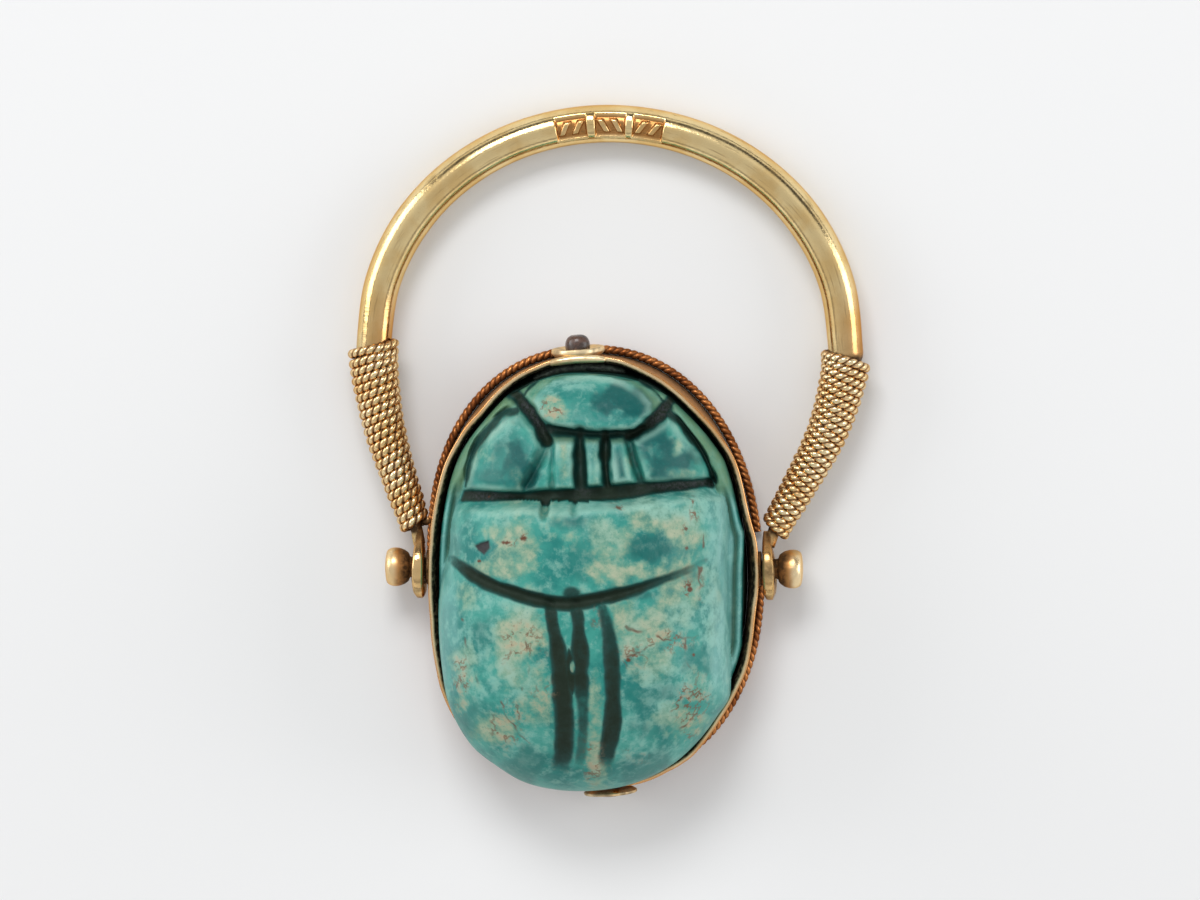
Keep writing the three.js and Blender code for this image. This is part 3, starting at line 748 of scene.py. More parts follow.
def make_pin(side):
    """Headed pin: a shaft in the ear, a short neck and a domed head, coned underneath."""
    ear_outer = EAR_MIDDLE + EAR_THICKNESS / 2
    start = EAR_MIDDLE - EAR_THICKNESS / 2 - 0.02
    neck = ear_outer + PIN_NECK_LENGTH
    head = neck + PIN_HEAD_LENGTH
    corners = [
        (0.01, start), (PIN_SHAFT_RADIUS, start), (PIN_SHAFT_RADIUS, neck - 0.06), (0.56, neck - 0.02),
        (0.7, neck + 0.16), (0.78, neck + 0.42), (0.77, head - 0.26), (0.66, head - 0.07),
        (0.36, head - 0.01), (0.01, head),
    ]
    profile = rounded_profile(corners, 0.12, 4)
    rings = turned(profile, (side, 0, 0), (0, 0, AXIS_HEIGHT), 72, 0.015, 31 + side)
    points, faces = loft(rings)
    along = side * points[:, 0]
    # Painted shade at the neck under the head, and a warm painted shade rising towards the neck; the noise
    # patches are dirt
    shade_near_neck = smooth(neck + 0.5, neck + 0.1, along)
    patch = smooth(0.1, 0.7, layered_noise(points, 0.5, 3, 17)) * smooth(head - 0.25, neck + 0.4, along)
    dirt_and_shade = np.clip(shade_near_neck * 0.9 + 0.35 * patch, 0, 1)
    return points, faces, dirt_and_shade, smooth(head - 0.3, neck + 0.35, along)


for side, node in ((1, "swivel_pin_right"), (-1, "swivel_pin_left")):
    points, faces, dirt_and_shade, warm_shade = make_pin(side)
    pieces[node] = make_mesh(
        node + "_turned", points, faces, golds["fitting_gold"], {"dirt_and_shade": dirt_and_shade, "warm_shade": warm_shade})

# Hoop: drawn flat round the swivel axis, then dropped until its far end touches the surface

HOOP_TILT = -math.asin((AXIS_HEIGHT - WIRE_RADIUS) / (SHOULDER_HEIGHT + HOOP_RISE))


def lay_down(points):
    """From the hoop's own plane to its place."""
    points = np.array(points, float)
    cos_tilt, sin_tilt = math.cos(HOOP_TILT), math.sin(HOOP_TILT)
    y = points[..., 1] * cos_tilt - points[..., 2] * sin_tilt
    z = points[..., 1] * sin_tilt + points[..., 2] * cos_tilt
    return np.stack([points[..., 0], y, z + AXIS_HEIGHT], -1)


# The legs' way from ear to shoulder: (share of the height, share of the way out)
LEG_SHARES = [(0.1, 0.0), (0.19, 0.1), (0.33, 0.34), (0.6, 0.765), (0.86, 0.99)]


def hoop_line(steps=4000):
    """Centreline of the hoop's wire from the right ear to the left one, evenly spaced."""
    def leg(side):
        ear, shoulder = side * EAR_MIDDLE, HOOP_OFFSET + side * HOOP_HALF_WIDTH
        return [((1 - out) * ear + out * shoulder, SHOULDER_HEIGHT * up) for up, out in LEG_SHARES]

    arch = [
        (HOOP_OFFSET + HOOP_HALF_WIDTH * math.cos(a), SHOULDER_HEIGHT + HOOP_RISE * math.sin(a))
        for a in np.linspace(0, math.pi, 13)
    ]
    line = smooth_line(leg(1) + arch + leg(-1)[::-1], steps)
    length = np.concatenate([[0], np.cumsum(np.linalg.norm(np.diff(line, axis=0), axis=1))])
    even = np.linspace(0, length[-1], steps)
    x, y = np.interp(even, length, line[:, 0]), np.interp(even, length, line[:, 1])
    return np.stack([x, y, 0 * x], -1), even


HOOP_LINE, HOOP_LENGTHS = hoop_line()


def radius_under_wrap(height):
    return np.interp(height, [WRAP_BOTTOM, WRAP_TOP], [WIRE_END_RADIUS, WIRE_UNDER_WRAP])


def wire_radius(height):
    """Radius of the hoop's wire at a height above the swivel axis."""
    bare_heights = [WRAP_TOP - 0.5, WRAP_TOP - 0.3, WRAP_TOP + 5]
    bare = np.interp(height, bare_heights, [WIRE_UNDER_WRAP, WIRE_UNDER_WRAP + 0.05, WIRE_RADIUS])
    return np.where(height > WRAP_TOP - 0.5, bare, radius_under_wrap(height))


# Three rectangular punch marks on the front of the hoop's top: (middle, half length) along it
PUNCH_MIDDLES = [-1.52, 0.04, 1.56]
PUNCH_HALF_LENGTH = 0.64
PUNCH_HALF_HEIGHT = 0.52
PUNCH_DEPTH = 0.17


def punch_relief(along, across):
    """Depth, from 0 to 1, of the punch marks; each holds plain slanted strokes."""
    depth = np.zeros(along.shape)
    for number, middle in enumerate(PUNCH_MIDDLES):
        u, v = along - middle, across
        edge = np.minimum(PUNCH_HALF_LENGTH - np.abs(u), PUNCH_HALF_HEIGHT - np.abs(v))
        floor = smooth(0.0, 0.09, edge)
        slant = u + (0.5, -0.5, 0.5)[number] * v
        stroke = np.minimum(np.abs(slant + 0.27), np.abs(slant - 0.27))
        raised = smooth(0.16, 0.09, stroke) * smooth(0.0, 0.1, PUNCH_HALF_HEIGHT - 0.16 - np.abs(v))
        depth = np.maximum(depth, floor * (1 - 0.75 * raised))
    return depth


WIRE_SIDES = 96
WIRE_STEP = 9
MARKS_STEP = 3
MARKS_REACH = 260
WIRE_WAVE = 0.012


def wire_rows(top):
    """Numbers of the centreline's points to keep: close together at the marks."""
    last = len(HOOP_LINE) - 1
    start, end = top - MARKS_REACH, top + MARKS_REACH
    return np.unique(np.concatenate([
        np.arange(0, start, WIRE_STEP), np.arange(start, end, MARKS_STEP),
        np.arange(end, last + 1, WIRE_STEP), [last]]))


def make_wire():
    """The hoop's wire, with fine hand-drawn unevenness and the punch marks at its top."""
    top = np.argmax(HOOP_LINE[:, 1])
    keep = wire_rows(top)
    ahead = np.gradient(HOOP_LINE, axis=0)
    ahead /= np.linalg.norm(ahead, axis=1)[:, None]
    outward = np.stack([ahead[:, 1], -ahead[:, 0], 0 * ahead[:, 0]], -1)[keep]
    centres, lengths = HOOP_LINE[keep], HOOP_LENGTHS[keep][:, None]
    height = centres[:, 1:2]
    angles = np.linspace(0, TURN, WIRE_SIDES, endpoint=False)
    sideways, upward = np.cos(angles), np.sin(angles)
    radius = wire_radius(height) * np.ones(WIRE_SIDES)
    whole = 0 * radius
    shape = np.stack([sideways * 2 + whole, upward * 2 + whole, lengths + whole], -1)
    bare = smooth(WRAP_TOP, WRAP_TOP + 0.6, height)
    radius = radius * (1 + WIRE_WAVE * bare * layered_noise(shape, 3.0, 3, 41))
    from_front = angles - math.pi / 2
    relief = punch_relief(HOOP_LENGTHS[top] - lengths + whole, WIRE_RADIUS * from_front - 0.05 + whole)
    relief = np.where(np.abs(from_front) < 1.3, relief, 0)
    radius = radius - PUNCH_DEPTH * relief
    around = sideways[None, :, None] * outward[:, None] + upward[None, :, None] * np.array([0, 0, 1])
    points, faces = loft(centres[:, None] + radius[..., None] * around)
    # Painted shade under and beside the wraps and in the punch marks, with a warm painted shade in the marks
    # and on each leg's outer side near its wrap
    shade_under_wrap = smooth(WRAP_TOP - 0.2, WRAP_TOP - 0.45, height) * smooth(1.2, 1.6, height)
    shade_near_wrap = 0.2 * smooth(WRAP_TOP + 0.5, WRAP_TOP - 0.1, height)
    outer_warm_shade = 0.45 + 0.55 * np.cos(angles + math.pi * (centres[:, :1] < 0))
    warm_shade_by_wrap = smooth(WRAP_TOP + 3.2, WRAP_TOP, height) * outer_warm_shade
    return points, faces, {
        "dirt_and_shade": with_ends(np.clip(shade_under_wrap + shade_near_wrap + 0.35 * relief, 0, 1), 0.5),
        "warm_shade": with_ends(np.clip(1.2 * relief + warm_shade_by_wrap, 0, 1), 0),
        "around": with_ends(sideways + upward + whole, 0),
    }


# How thick an ear is, as a share, at heights above its pin
EAR_TAPER_HEIGHTS = [-1.25, -0.95, 0.0, 0.7, 1.4]
EAR_TAPER = [0.62, 0.95, 1.0, 0.85, 0.55]


def make_ear(side):
    """Flat pierced disc at the end of one leg, drawn out to meet the wire."""
    angles = np.linspace(0, TURN, 72, endpoint=False)
    neck = np.clip(np.sin(angles), 0, 1) ** 6
    around = np.stack([np.cos(angles) * 3, np.sin(angles) * 3, 0 * angles + side], -1)
    reach = EAR_RADIUS * (1 + 0.02 * layered_noise(around, 1.0, 2, 7)) + 0.25 * neck
    rings = []
    section = rounded_profile([(0, 0), (0, 1), (1, 1), (1, -1), (0, -1), (0, 0)], 0.5, 5)[:-1]
    for share, face in section:
        radius = PIN_HOLE_RADIUS + (reach - PIN_HOLE_RADIUS) * share
        height = radius * np.sin(angles)
        thick = EAR_THICKNESS / 2 * np.interp(height, EAR_TAPER_HEIGHTS, EAR_TAPER)
        lean = 0.03 * np.sin(angles * 2 + side) - (0.06 if side > 0 else 0.01) * height
        rings.append(np.stack([side * EAR_MIDDLE + face * thick + lean, height, radius * np.cos(angles)], -1))
    points, faces = loft(rings, closed=True)
    mottled = 0.5 * layered_noise(points, 0.6, 3, 51 + side)
    # Mottled dirt, with painted shade darkening the ear where it meets the wire
    dirt_and_shade = np.clip(0.2 + mottled + 0.4 * smooth(0.7, 1.3, points[:, 1]), 0, 0.75)
    return points, faces, dirt_and_shade


def make_shank():
    wire_points, wire_faces, wire = make_wire()
    parts = [(wire_points, wire_faces, wire["dirt_and_shade"])] + [make_ear(side) for side in (1, -1)]
    points, faces, dirt_and_shade = add_pieces(parts)
    ears = points[len(wire_points):]
    wire_along = np.linspace(0, HOOP_LENGTHS[-1], len(wire_points))
    attributes = {
        # The ears take a warm painted shade, stronger where they meet the wire
        "dirt_and_shade": dirt_and_shade, "warm_shade": np.concatenate([wire["warm_shade"], 0.35 + 0.5 * smooth(0.0, 1.2, ears[:, 1])]),
        "around": np.concatenate([wire["around"], ears[:, 2]]),
        "along": np.concatenate([wire_along, ears[:, 1]]),
    }
    return make_mesh("hoop", lay_down(points), faces, golds["hoop_gold"], attributes)


WRAP_PITCH = 0.35
WRAP_LEAN = 0.19
WRAP_TWIST_PITCH = 0.62
ROPE_RADIUS = 0.19


def make_wrap(side):
    """Twisted wire coiled closely round one leg."""
    top = WRAP_TOP + (-0.06 if side > 0 else 0.17)
    heights = HOOP_LINE[:, 1]
    half = len(heights) // 2
    chosen = np.arange(0, half) if side > 0 else np.arange(len(heights) - 1, half, -1)
    chosen = chosen[(heights[chosen] >= WRAP_BOTTOM) & (heights[chosen] <= top)]
    line = HOOP_LINE[chosen]
    length = np.abs(HOOP_LENGTHS[chosen] - HOOP_LENGTHS[chosen[0]])
    turns = round(length[-1] / WRAP_PITCH)
    # The right coil's last end is hidden behind the leg, and the left one's sticks up a little
    last_angle = turns * TURN - (1.0 if side > 0 else 0.2)
    angle = np.linspace(0, last_angle, int(turns * 90))
    ahead = np.gradient(line, axis=0)
    ahead /= np.linalg.norm(ahead, axis=1)[:, None]

    def at(values, where):
        return np.stack([np.interp(where, length, values[:, k]) for k in range(3)], -1)

    base = angle / last_angle * (length[-1] - 0.34) + 0.12
    lifted_end = 0.12 * (side < 0) * smooth(last_angle - 0.8, last_angle, angle)
    # The right coil winds one way and the left one the other, and their rows lean with them
    across, upward = np.cos(angle), side * np.sin(angle)
    radius = radius_under_wrap(np.interp(base, length, line[:, 1])) + ROPE_RADIUS + 0.02
    where = np.clip(base - side * WRAP_LEAN * across * radius + lifted_end, 0, length[-1])
    centre, forward = at(line, where), at(ahead, where)
    aside = np.stack([forward[:, 1], -forward[:, 0], 0 * where], -1)
    outward = across[:, None] * aside + upward[:, None] * np.array([0, 0, 1.0])
    jitter = 0.012 * noise(np.stack([angle, 0 * angle, 0 * angle + side], -1), 0.9, 61)
    centres = centre + (radius + jitter)[:, None] * outward
    points, faces, dirt_and_shade, warm_shade = twisted_wire(centres, outward, ROPE_RADIUS, WRAP_TWIST_PITCH)
    return lay_down(points), faces, {"dirt_and_shade": dirt_and_shade, "warm_shade": 0.75 * warm_shade}


pieces["shank"] = make_shank()
for node, side in (("wire_wrap_right", 1), ("wire_wrap_left", -1)):
    points, faces, attributes = make_wrap(side)
    pieces[node] = make_mesh(node + "_coil", points, faces, golds["wrap_gold"], attributes)

# Beetle: one carved mesh, its outlines given in millimetres as the photograph's view shows them

BODY_CENTRE = (-0.2, -1.4)
BODY_ROUNDNESS = 2.55
BODY_RIM = 2.75
BODY_RISE = 4.35
HEAD_RIM = 2.6
HEAD_RISE = 3.2
HEAD_CENTRE = (-0.3, 0.0)
HEAD_HALF_WIDTH = 5.5
HEAD_HALF_LENGTH = 8.05
DOME_FULLNESS = 2.3
DOME_SHOULDER = 0.6
BAND_HEIGHT = 2.45

BODY_RIM_SEEN = [
    (-5.45, 2.72), (-5.69, 2.12), (-5.86, 0.6), (-6.1, -0.27), (-6.28, -1.56), (-6.28, -2.44),
    (-6.15, -4.09), (-5.92, -5.37), (-5.45, -6.45), (-4.82, -7.3), (-3.99, -7.94), (-2.89, -8.59),
    (-1.51, -8.91), (-0.22, -8.94), (1.24, -8.72), (3.08, -7.85), (4.0, -7.03), (4.92, -5.83),
    (5.33, -5.19), (5.4, -4.2), (5.38, -3.35), (5.3, -1.3), (5.28, 0.74), (5.26, 2.3), (5.1, 3.0),
]
BAND_RIM_SEEN = [
    (-6.33, 0.74), (-6.22, 2.4), (-5.83, 3.95), (-5.18, 5.33), (-4.45, 6.25), (-3.6, 6.85),
    (-3.0, 7.1), (-2.2, 7.5), (-1.4, 7.72), (0, 7.75), (1.06, 7.62), (2.0, 7.35), (2.67, 6.98),
    (3.2, 6.66), (3.82, 6.25), (4.92, 4.78), (5.47, 3.31), (5.84, 2.12), (5.9, -0.2), (5.88, -2.0),
    (5.7, -4.2), (5.2, -5.7), (4.0, -7.2), (2.0, -8.3), (0, -8.6), (-2.0, -8.4), (-4.0, -7.5),
    (-5.3, -6.0), (-6.0, -4.2), (-6.3, -1.6),
]
# The carved head as a whole, inside the leg band
HEAD_AREA = [
    (-5.5, 2.3), (-5.22, 3.2), (-5.0, 4.3), (-4.6, 5.15), (-4.1, 5.75), (-3.5, 6.15), (-3.0, 6.45),
    (-2.75, 6.95), (-2.0, 7.6), (-1.2, 7.82), (-0.22, 7.9), (0.9, 7.72), (1.8, 7.2), (2.4, 6.75),
    (2.75, 6.3), (3.1, 6.05), (3.5, 5.6), (4.15, 4.7), (4.55, 3.9), (4.75, 3.2), (5.0, 2.3),
]
HEAD_PLATE = [
    (-2.53, 6.65), (-2.2, 7.1), (-1.7, 7.48), (-1.0, 7.66), (-0.22, 7.74), (0.6, 7.68), (1.2, 7.5),
    (1.8, 7.05), (2.24, 6.6), (2.2, 6.1), (2.0, 5.62), (1.2, 5.45), (-0.4, 5.42), (-1.7, 5.6),
    (-2.15, 5.95),
]
LEFT_CHEEK = [
    (-3.16, 6.1), (-3.6, 5.95), (-3.99, 5.6), (-4.5, 5.1), (-4.9, 4.5), (-5.1, 3.9), (-5.16, 3.12),
    (-4.0, 3.0), (-2.98, 2.94), (-2.5, 3.7), (-2.0, 4.7), (-2.3, 5.2),
]
RIGHT_CHEEK = [
    (2.85, 5.97), (3.1, 5.9), (3.36, 5.51), (3.8, 5.1), (4.2, 4.4), (4.5, 3.86), (4.4, 3.6),
    (3.4, 3.5), (2.4, 3.32), (2.0, 3.4), (1.75, 4.2), (1.45, 5.05), (2.0, 5.4), (2.55, 5.7),
]
NECK_SLOPE = [(-1.95, 5.0), (-1.78, 5.1), (-1.75, 3.05), (-2.9, 2.95), (-2.4, 3.85)]
NECK_BARS = [
    [(-1.68, 5.2), (-0.88, 5.2), (-0.84, 3.08), (-1.66, 3.04)],
    [(-0.42, 5.15), (0.2, 5.15), (0.2, 3.28), (-0.4, 3.22)],
    [(0.5, 5.12), (1.12, 5.12), (1.32, 4.4), (1.52, 3.4), (0.72, 3.3)],
]
# Raised forms of the head: (outline, width of the rounded edge, extra height, teal pooled on top)
HEAD_FORMS = [
    (HEAD_PLATE, 0.6, 0.24, 0.4), (LEFT_CHEEK, 0.6, 0.14, 0.45), (RIGHT_CHEEK, 0.6, 0.1, 0.6),
    (NECK_SLOPE, 0.4, -0.2, 0.2), *[(bar, 0.22, -0.04, 0.2) for bar in NECK_BARS],
]
# Cuts between the forms of the head: (line, half width, depth, darkness of pooled glaze and painted shade)
HEAD_CUTS = [
    ([(-1.95, 5.42), (-1.5, 5.36), (-0.4, 5.28), (0.8, 5.3), (2.0, 5.5)], 0.26, 0.5, 0.75),
    ([(-3.75, 7.35), (-3.3, 6.9), (-2.9, 6.4), (-2.4, 5.75), (-1.95, 5.0)], 0.4, 0.8, 1.0),
    ([(-1.98, 5.0), (-2.25, 4.25), (-2.75, 3.3)], 0.32, 0.28, 0.3),
    ([(3.4, 7.2), (3.0, 6.7), (2.7, 6.25), (2.15, 5.72), (1.3, 5.2)], 0.36, 0.75, 1.0),
    ([(-0.66, 5.25), (-0.64, 4.2), (-0.6, 3.1)], 0.34, 0.55, 0.8),
    ([(0.34, 5.25), (0.36, 4.2), (0.46, 3.2)], 0.27, 0.60, 0.9),
    ([(-1.74, 5.1), (-1.75, 4.0), (-1.76, 3.0)], 0.1, 0.10, 0.25),
    ([(1.28, 5.1), (1.5, 4.2), (1.78, 3.4)], 0.26, 0.32, 0.45),
    ([(-3.2, 6.2), (-3.7, 6.08), (-4.1, 5.7), (-4.68, 5.0), (-5.02, 4.3), (-5.22, 3.2)], 0.24, 0.4, 0.6),
    ([(2.95, 6.1), (3.45, 5.66), (4.15, 4.75), (4.6, 3.9), (4.75, 3.55)], 0.2, 0.45, 0.8),
    ([(-3.0, 6.55), (-2.68, 7.1), (-1.95, 7.62), (-1.0, 7.85)], 0.13, 0.25, 0.6),
    ([(1.0, 7.8), (1.9, 7.32), (2.5, 6.85), (2.8, 6.4)], 0.13, 0.25, 0.6),
]
# Edges of the deep cut between head and shield: (across, up)
HEAD_EDGE = [
    (-7.0, 3.02), (-5.06, 3.02), (-2.98, 2.92), (-1.7, 3.02), (0.2, 3.2), (1.5, 3.33), (4.46, 3.55),
    (7.0, 3.6),
]
SHIELD_EDGE = [
    (-7.0, 2.55), (-5.38, 2.57), (-1.88, 2.57), (0.78, 2.68), (2.16, 2.92), (4.37, 3.2), (7.0, 3.3),
]
WING_CURVE = [
    (-5.8, 0.35), (-5.0, -0.22), (-4.26, -0.62), (-2.43, -1.22), (-1.05, -1.38), (0.78, -1.05),
    (2.16, -0.6), (3.54, -0.1), (4.4, 0.35),
]
# Lines down the wing cases, each with (distance below the axis, half width, darkness) knots
WING_LINES = [
    ([(-1.84, -1.3), (-1.7, -2.14), (-1.46, -3.37), (-1.35, -4.3), (-1.24, -6.14), (-1.28, -7.4),
      (-1.5, -8.5)],
     [(1.3, 0.30, 0.75), (2.1, 0.31, 0.85), (3.4, 0.43, 0.95), (5.0, 0.45, 1.0), (7.0, 0.45, 0.9),
      (8.3, 0.5, 0.4)]),
    ([(-0.8, -1.3), (-0.68, -2.14), (-0.63, -3.37), (-0.6, -4.3), (-0.48, -6.14), (-0.6, -7.4),
      (-0.85, -8.4)],
     [(1.3, 0.28, 0.6), (2.1, 0.32, 0.8), (3.4, 0.42, 0.9), (4.6, 0.42, 0.9), (5.2, 0.32, 0.5),
      (8.0, 0.26, 0.35)]),
    ([(0.22, -1.3), (0.43, -2.14), (0.62, -3.37), (0.68, -4.9), (0.66, -6.14), (0.48, -7.37),
      (0.3, -8.3)],
     [(1.3, 0.28, 0.45), (2.1, 0.36, 0.55), (4.0, 0.37, 0.85), (6.8, 0.4, 0.9), (8.0, 0.36, 0.4)]),
]
WING_LINES_MERGE = [
    (-1.05, -3.2), (-0.85, -3.6), (-0.8, -4.7), (-0.92, -5.0), (-1.1, -4.7), (-1.2, -3.7),
]
CHIP = [(-4.88, 0.92), (-4.6, 1.05), (-4.2, 1.14), (-4.18, 0.78), (-4.42, 0.48), (-4.72, 0.66)]
CRACKS = [
    [(4.08, 0.12), (4.22, -0.3), (4.18, -0.7), (4.18, -1.16)],
    [(4.26, 1.88), (4.22, 0.88)],
    [(1.2, -2.3), (2.42, -2.72), (3.1, -2.78), (3.9, -2.72), (4.5, -2.9)],
    [(3.62, -2.72), (3.64, -3.7), (4.0, -4.2)],
    [(1.26, -3.5), (1.6, -3.45), (2.3, -3.0)],
    [(4.9, -4.6), (4.4, -5.4), (3.5, -6.2), (3.1, -6.5)],
    [(-3.8, -5.4), (-3.3, -6.2), (-2.7, -7.0)],
    [(-5.3, -2.0), (-5.1, -3.4), (-4.6, -4.6)],
    [(-2.9, -2.5), (-2.6, -3.6), (-3.0, -4.8)],
]
# Soft patches of colour: (across, up, half width, half height, strength)
SAND_PATCHES = [
    (-2.9, -2.9, 0.9, 1.6, 1.0), (-5.3, -4.0, 0.45, 1.3, 0.8), (1.9, -2.4, 1.3, 1.1, 0.9),
    (-3.3, 1.2, 1.1, 1.3, 0.8), (-1.8, 6.3, 0.6, 0.6, 1.0), (0.0, -7.6, 0.5, 1.3, 1.0),
    (0.7, 1.2, 1.2, 0.9, 0.75), (1.2, -0.1, 1.5, 0.5, 0.9), (3.6, 1.6, 0.8, 1.5, 0.9),
    (3.6, -0.6, 0.9, 1.0, 0.75), (-3.9, -0.1, 1.1, 0.45, 0.7), (-1.0, -4.0, 0.22, 0.5, 1.0),
    (3.4, -6.0, 1.0, 0.7, 0.8), (-3.9, -6.5, 1.1, 0.6, 0.9), (2.4, -3.6, 1.0, 0.8, 0.8),
    (3.35, 4.9, 0.28, 0.45, 1.0), (3.6, 3.8, 0.8, 0.25, 0.7), (-1.3, 4.5, 0.35, 0.9, 0.9),
    (-2.4, -5.0, 0.7, 1.6, 0.6), (2.2, 2.2, 1.1, 0.7, 0.7), (-4.9, -1.3, 0.5, 0.7, 0.5),
    (4.7, -2.0, 0.4, 2.0, 0.7), (0.0, -5.3, 0.25, 1.6, 0.5), (-0.9, 1.2, 0.9, 0.6, 0.4),
    (-4.8, 4.9, 0.5, 0.9, 0.5), (-3.2, 3.6, 0.4, 0.5, 0.5), (0.0, 4.2, 0.25, 0.8, 0.5),
    (1.3, 3.9, 0.15, 0.5, 0.8), (4.0, -4.6, 0.6, 0.9, 0.6), (-1.9, 2.2, 1.3, 0.3, 0.5),
]
TEAL_PATCHES = [
    (1.0, 6.7, 1.7, 0.65, 1.1), (-3.1, 4.4, 0.8, 1.5, 1.1), (2.9, 4.5, 1.4, 1.0, 1.1),
    (-4.1, 3.7, 1.0, 0.6, 0.6), (2.1, 0.9, 1.3, 0.8, 0.75), (-0.7, 1.9, 1.2, 0.5, 0.6),
    (-4.8, -6.2, 1.1, 0.9, 0.55), (2.6, -5.3, 1.2, 1.5, 0.55), (-2.9, -7.9, 1.4, 0.8, 0.55),
    (1.9, -7.9, 1.5, 0.7, 0.55),
    (-4.4, -2.5, 0.8, 0.9, 0.55), (1.6, -1.0, 1.4, 0.3, 0.6), (3.2, -0.3, 1.0, 0.3, 0.9),
    (-0.3, 0.3, 1.0, 0.8, 0.5), (0.9, 4.1, 0.35, 0.9, 0.8), (3.9, -3.7, 0.9, 0.8, 0.5),
    (-2.4, 4.4, 0.35, 0.7, 0.6), (-0.9, 6.2, 0.5, 0.5, 0.4), (1.5, -4.6, 0.4, 1.2, 0.4),
]
RUST_PATCHES = [
    (-3.5, 1.05, 0.45, 0.25, 1.0), (-2.9, 1.22, 0.3, 0.2, 1.0), (0.9, 2.4, 0.35, 0.15, 0.8),
    (3.92, 2.3, 0.2, 0.6, 0.9), (3.6, 1.6, 0.25, 0.3, 0.9), (3.72, -0.78, 0.25, 0.35, 1.0),
    (-1.7, 6.35, 0.5, 0.4, 0.9), (-3.4, -6.2, 0.8, 0.8, 0.9), (3.8, -5.4, 0.6, 1.0, 0.9),
    (-2.8, -3.0, 0.7, 0.9, 0.8), (2.9, -2.8, 1.1, 0.4, 0.9), (0.0, -1.9, 0.2, 0.5, 0.6),
    (-0.1, -7.6, 0.35, 0.9, 0.8), (4.15, -0.6, 0.2, 0.7, 0.5), (1.5, -3.4, 0.5, 0.5, 0.8),
    (-5.4, -4.4, 0.35, 1.0, 0.8), (1.7, -7.4, 0.5, 0.4, 0.6), (-2.2, -5.2, 0.5, 0.8, 0.5),
]
PALE_PATCHES = [
    (2.9, -4.6, 1.2, 1.4, 0.9), (1.7, -6.3, 0.7, 1.0, 0.7), (4.6, -1.2, 0.5, 2.4, 0.9),
    (3.2, -1.9, 1.0, 0.6, 0.7), (2.6, 2.6, 1.6, 0.5, 0.8), (4.3, 2.4, 0.7, 0.9, 0.9),
    (-3.9, 2.2, 1.4, 0.5, 0.7), (-1.0, 2.3, 1.6, 0.3, 0.6), (-3.6, -1.4, 1.4, 0.7, 0.6),
    (-4.6, -3.2, 0.8, 1.3, 0.6), (-3.2, -4.6, 1.0, 1.2, 0.7), (-2.3, -6.8, 0.9, 0.7, 0.6),
    (-3.7, 5.4, 0.7, 0.5, 0.6), (-0.9, 7.3, 1.3, 0.35, 0.6), (3.7, 5.0, 0.5, 0.8, 0.5),
    (0.2, 1.7, 0.8, 0.9, 0.5), (2.2, -7.3, 1.6, 0.5, 0.7), (-4.7, -5.2, 0.7, 1.0, 0.5),
    (1.5, -3.0, 0.4, 1.4, 0.4), (4.6, -4.6, 0.5, 1.3, 0.8), (5.0, -2.6, 0.4, 2.6, 1.0),
    (4.9, 1.2, 0.4, 1.8, 0.9),
]
# Short dark specks: (across, up, half width, half height)
SPECKS = [
    (-3.55, 1.02, 0.2, 0.07), (-2.86, 1.2, 0.13, 0.09), (0.9, 2.4, 0.16, 0.04), (3.94, 2.76, 0.05, 0.05),
    (3.6, 1.6, 0.07, 0.06), (3.62, 0.85, 0.09, 0.08), (-4.62, 0.28, 0.07, 0.06), (-4.27, 2.76, 0.05, 0.05),
    (3.74, -0.8, 0.12, 0.12), (3.7, -0.62, 0.1, 0.06), (1.3, -3.6, 0.09, 0.06), (3.9, -3.4, 0.06, 0.07),
]
# Dull grey filler in the head's grooves: (across, up, half width, half height, strength)
GREY_FILLER = [
    (-2.6, 5.95, 0.7, 0.9, 1.0), (2.5, 5.95, 0.6, 0.6, 0.9), (1.7, 4.2, 0.4, 1.0, 0.6),
    (-4.3, 2.8, 1.1, 0.3, 0.8), (3.4, 3.35, 1.2, 0.3, 0.9), (-0.6, 2.95, 0.4, 0.25, 0.4),
]


def rim_share(x, y, centre, half_width, half_length):
    across = np.abs((x - centre[0]) / half_width) ** BODY_ROUNDNESS
    along = np.abs((y - centre[1]) / half_length) ** BODY_ROUNDNESS
    return (across + along) ** (1 / BODY_ROUNDNESS)


def dome(share):
    return np.maximum(1 - np.minimum(share, 1) ** DOME_FULLNESS, 0) ** DOME_SHOULDER


def seen(x, y, z):
    """Place in the photograph's view of a point of the ring."""
    lift = z - AXIS_HEIGHT
    return x - VIEW_ORIGIN_X - VIEW_RIGHT * lift, VIEW_SHORTENING * y - VIEW_HEAD * lift


def unseen(across, up, z):
    """Point of the ring at a height that the view shows at a place."""
    lift = z - AXIS_HEIGHT
    return across + VIEW_ORIGIN_X + VIEW_RIGHT * lift, (up + VIEW_HEAD * lift) / VIEW_SHORTENING


def rim_radius(knots, z, angles):
    """Distance of a seen rim from the body's centre, at each angle."""
    around = []
    for across, up in knots:
        x, y = unseen(across, up, z)
        dx, dy = x - BODY_CENTRE[0], y - BODY_CENTRE[1]
        around.append((math.degrees(math.atan2(dy, dx)), math.hypot(dx, dy)))
    return closed_curve(around, angles)


def seat_radius(angles, growth, height):
    """Distance of the setting's inside from the body's centre, at each angle."""
    turns = np.linspace(-math.pi, math.pi, 1441)
    ring = setting_point(turns, growth, height)
    dx, dy = ring[:, 0] - BODY_CENTRE[0], ring[:, 1] - BODY_CENTRE[1]
    around = np.arctan2(dy, dx)
    order = np.argsort(around)
    return np.interp(angles, around[order], np.hypot(dx, dy)[order], period=TURN)


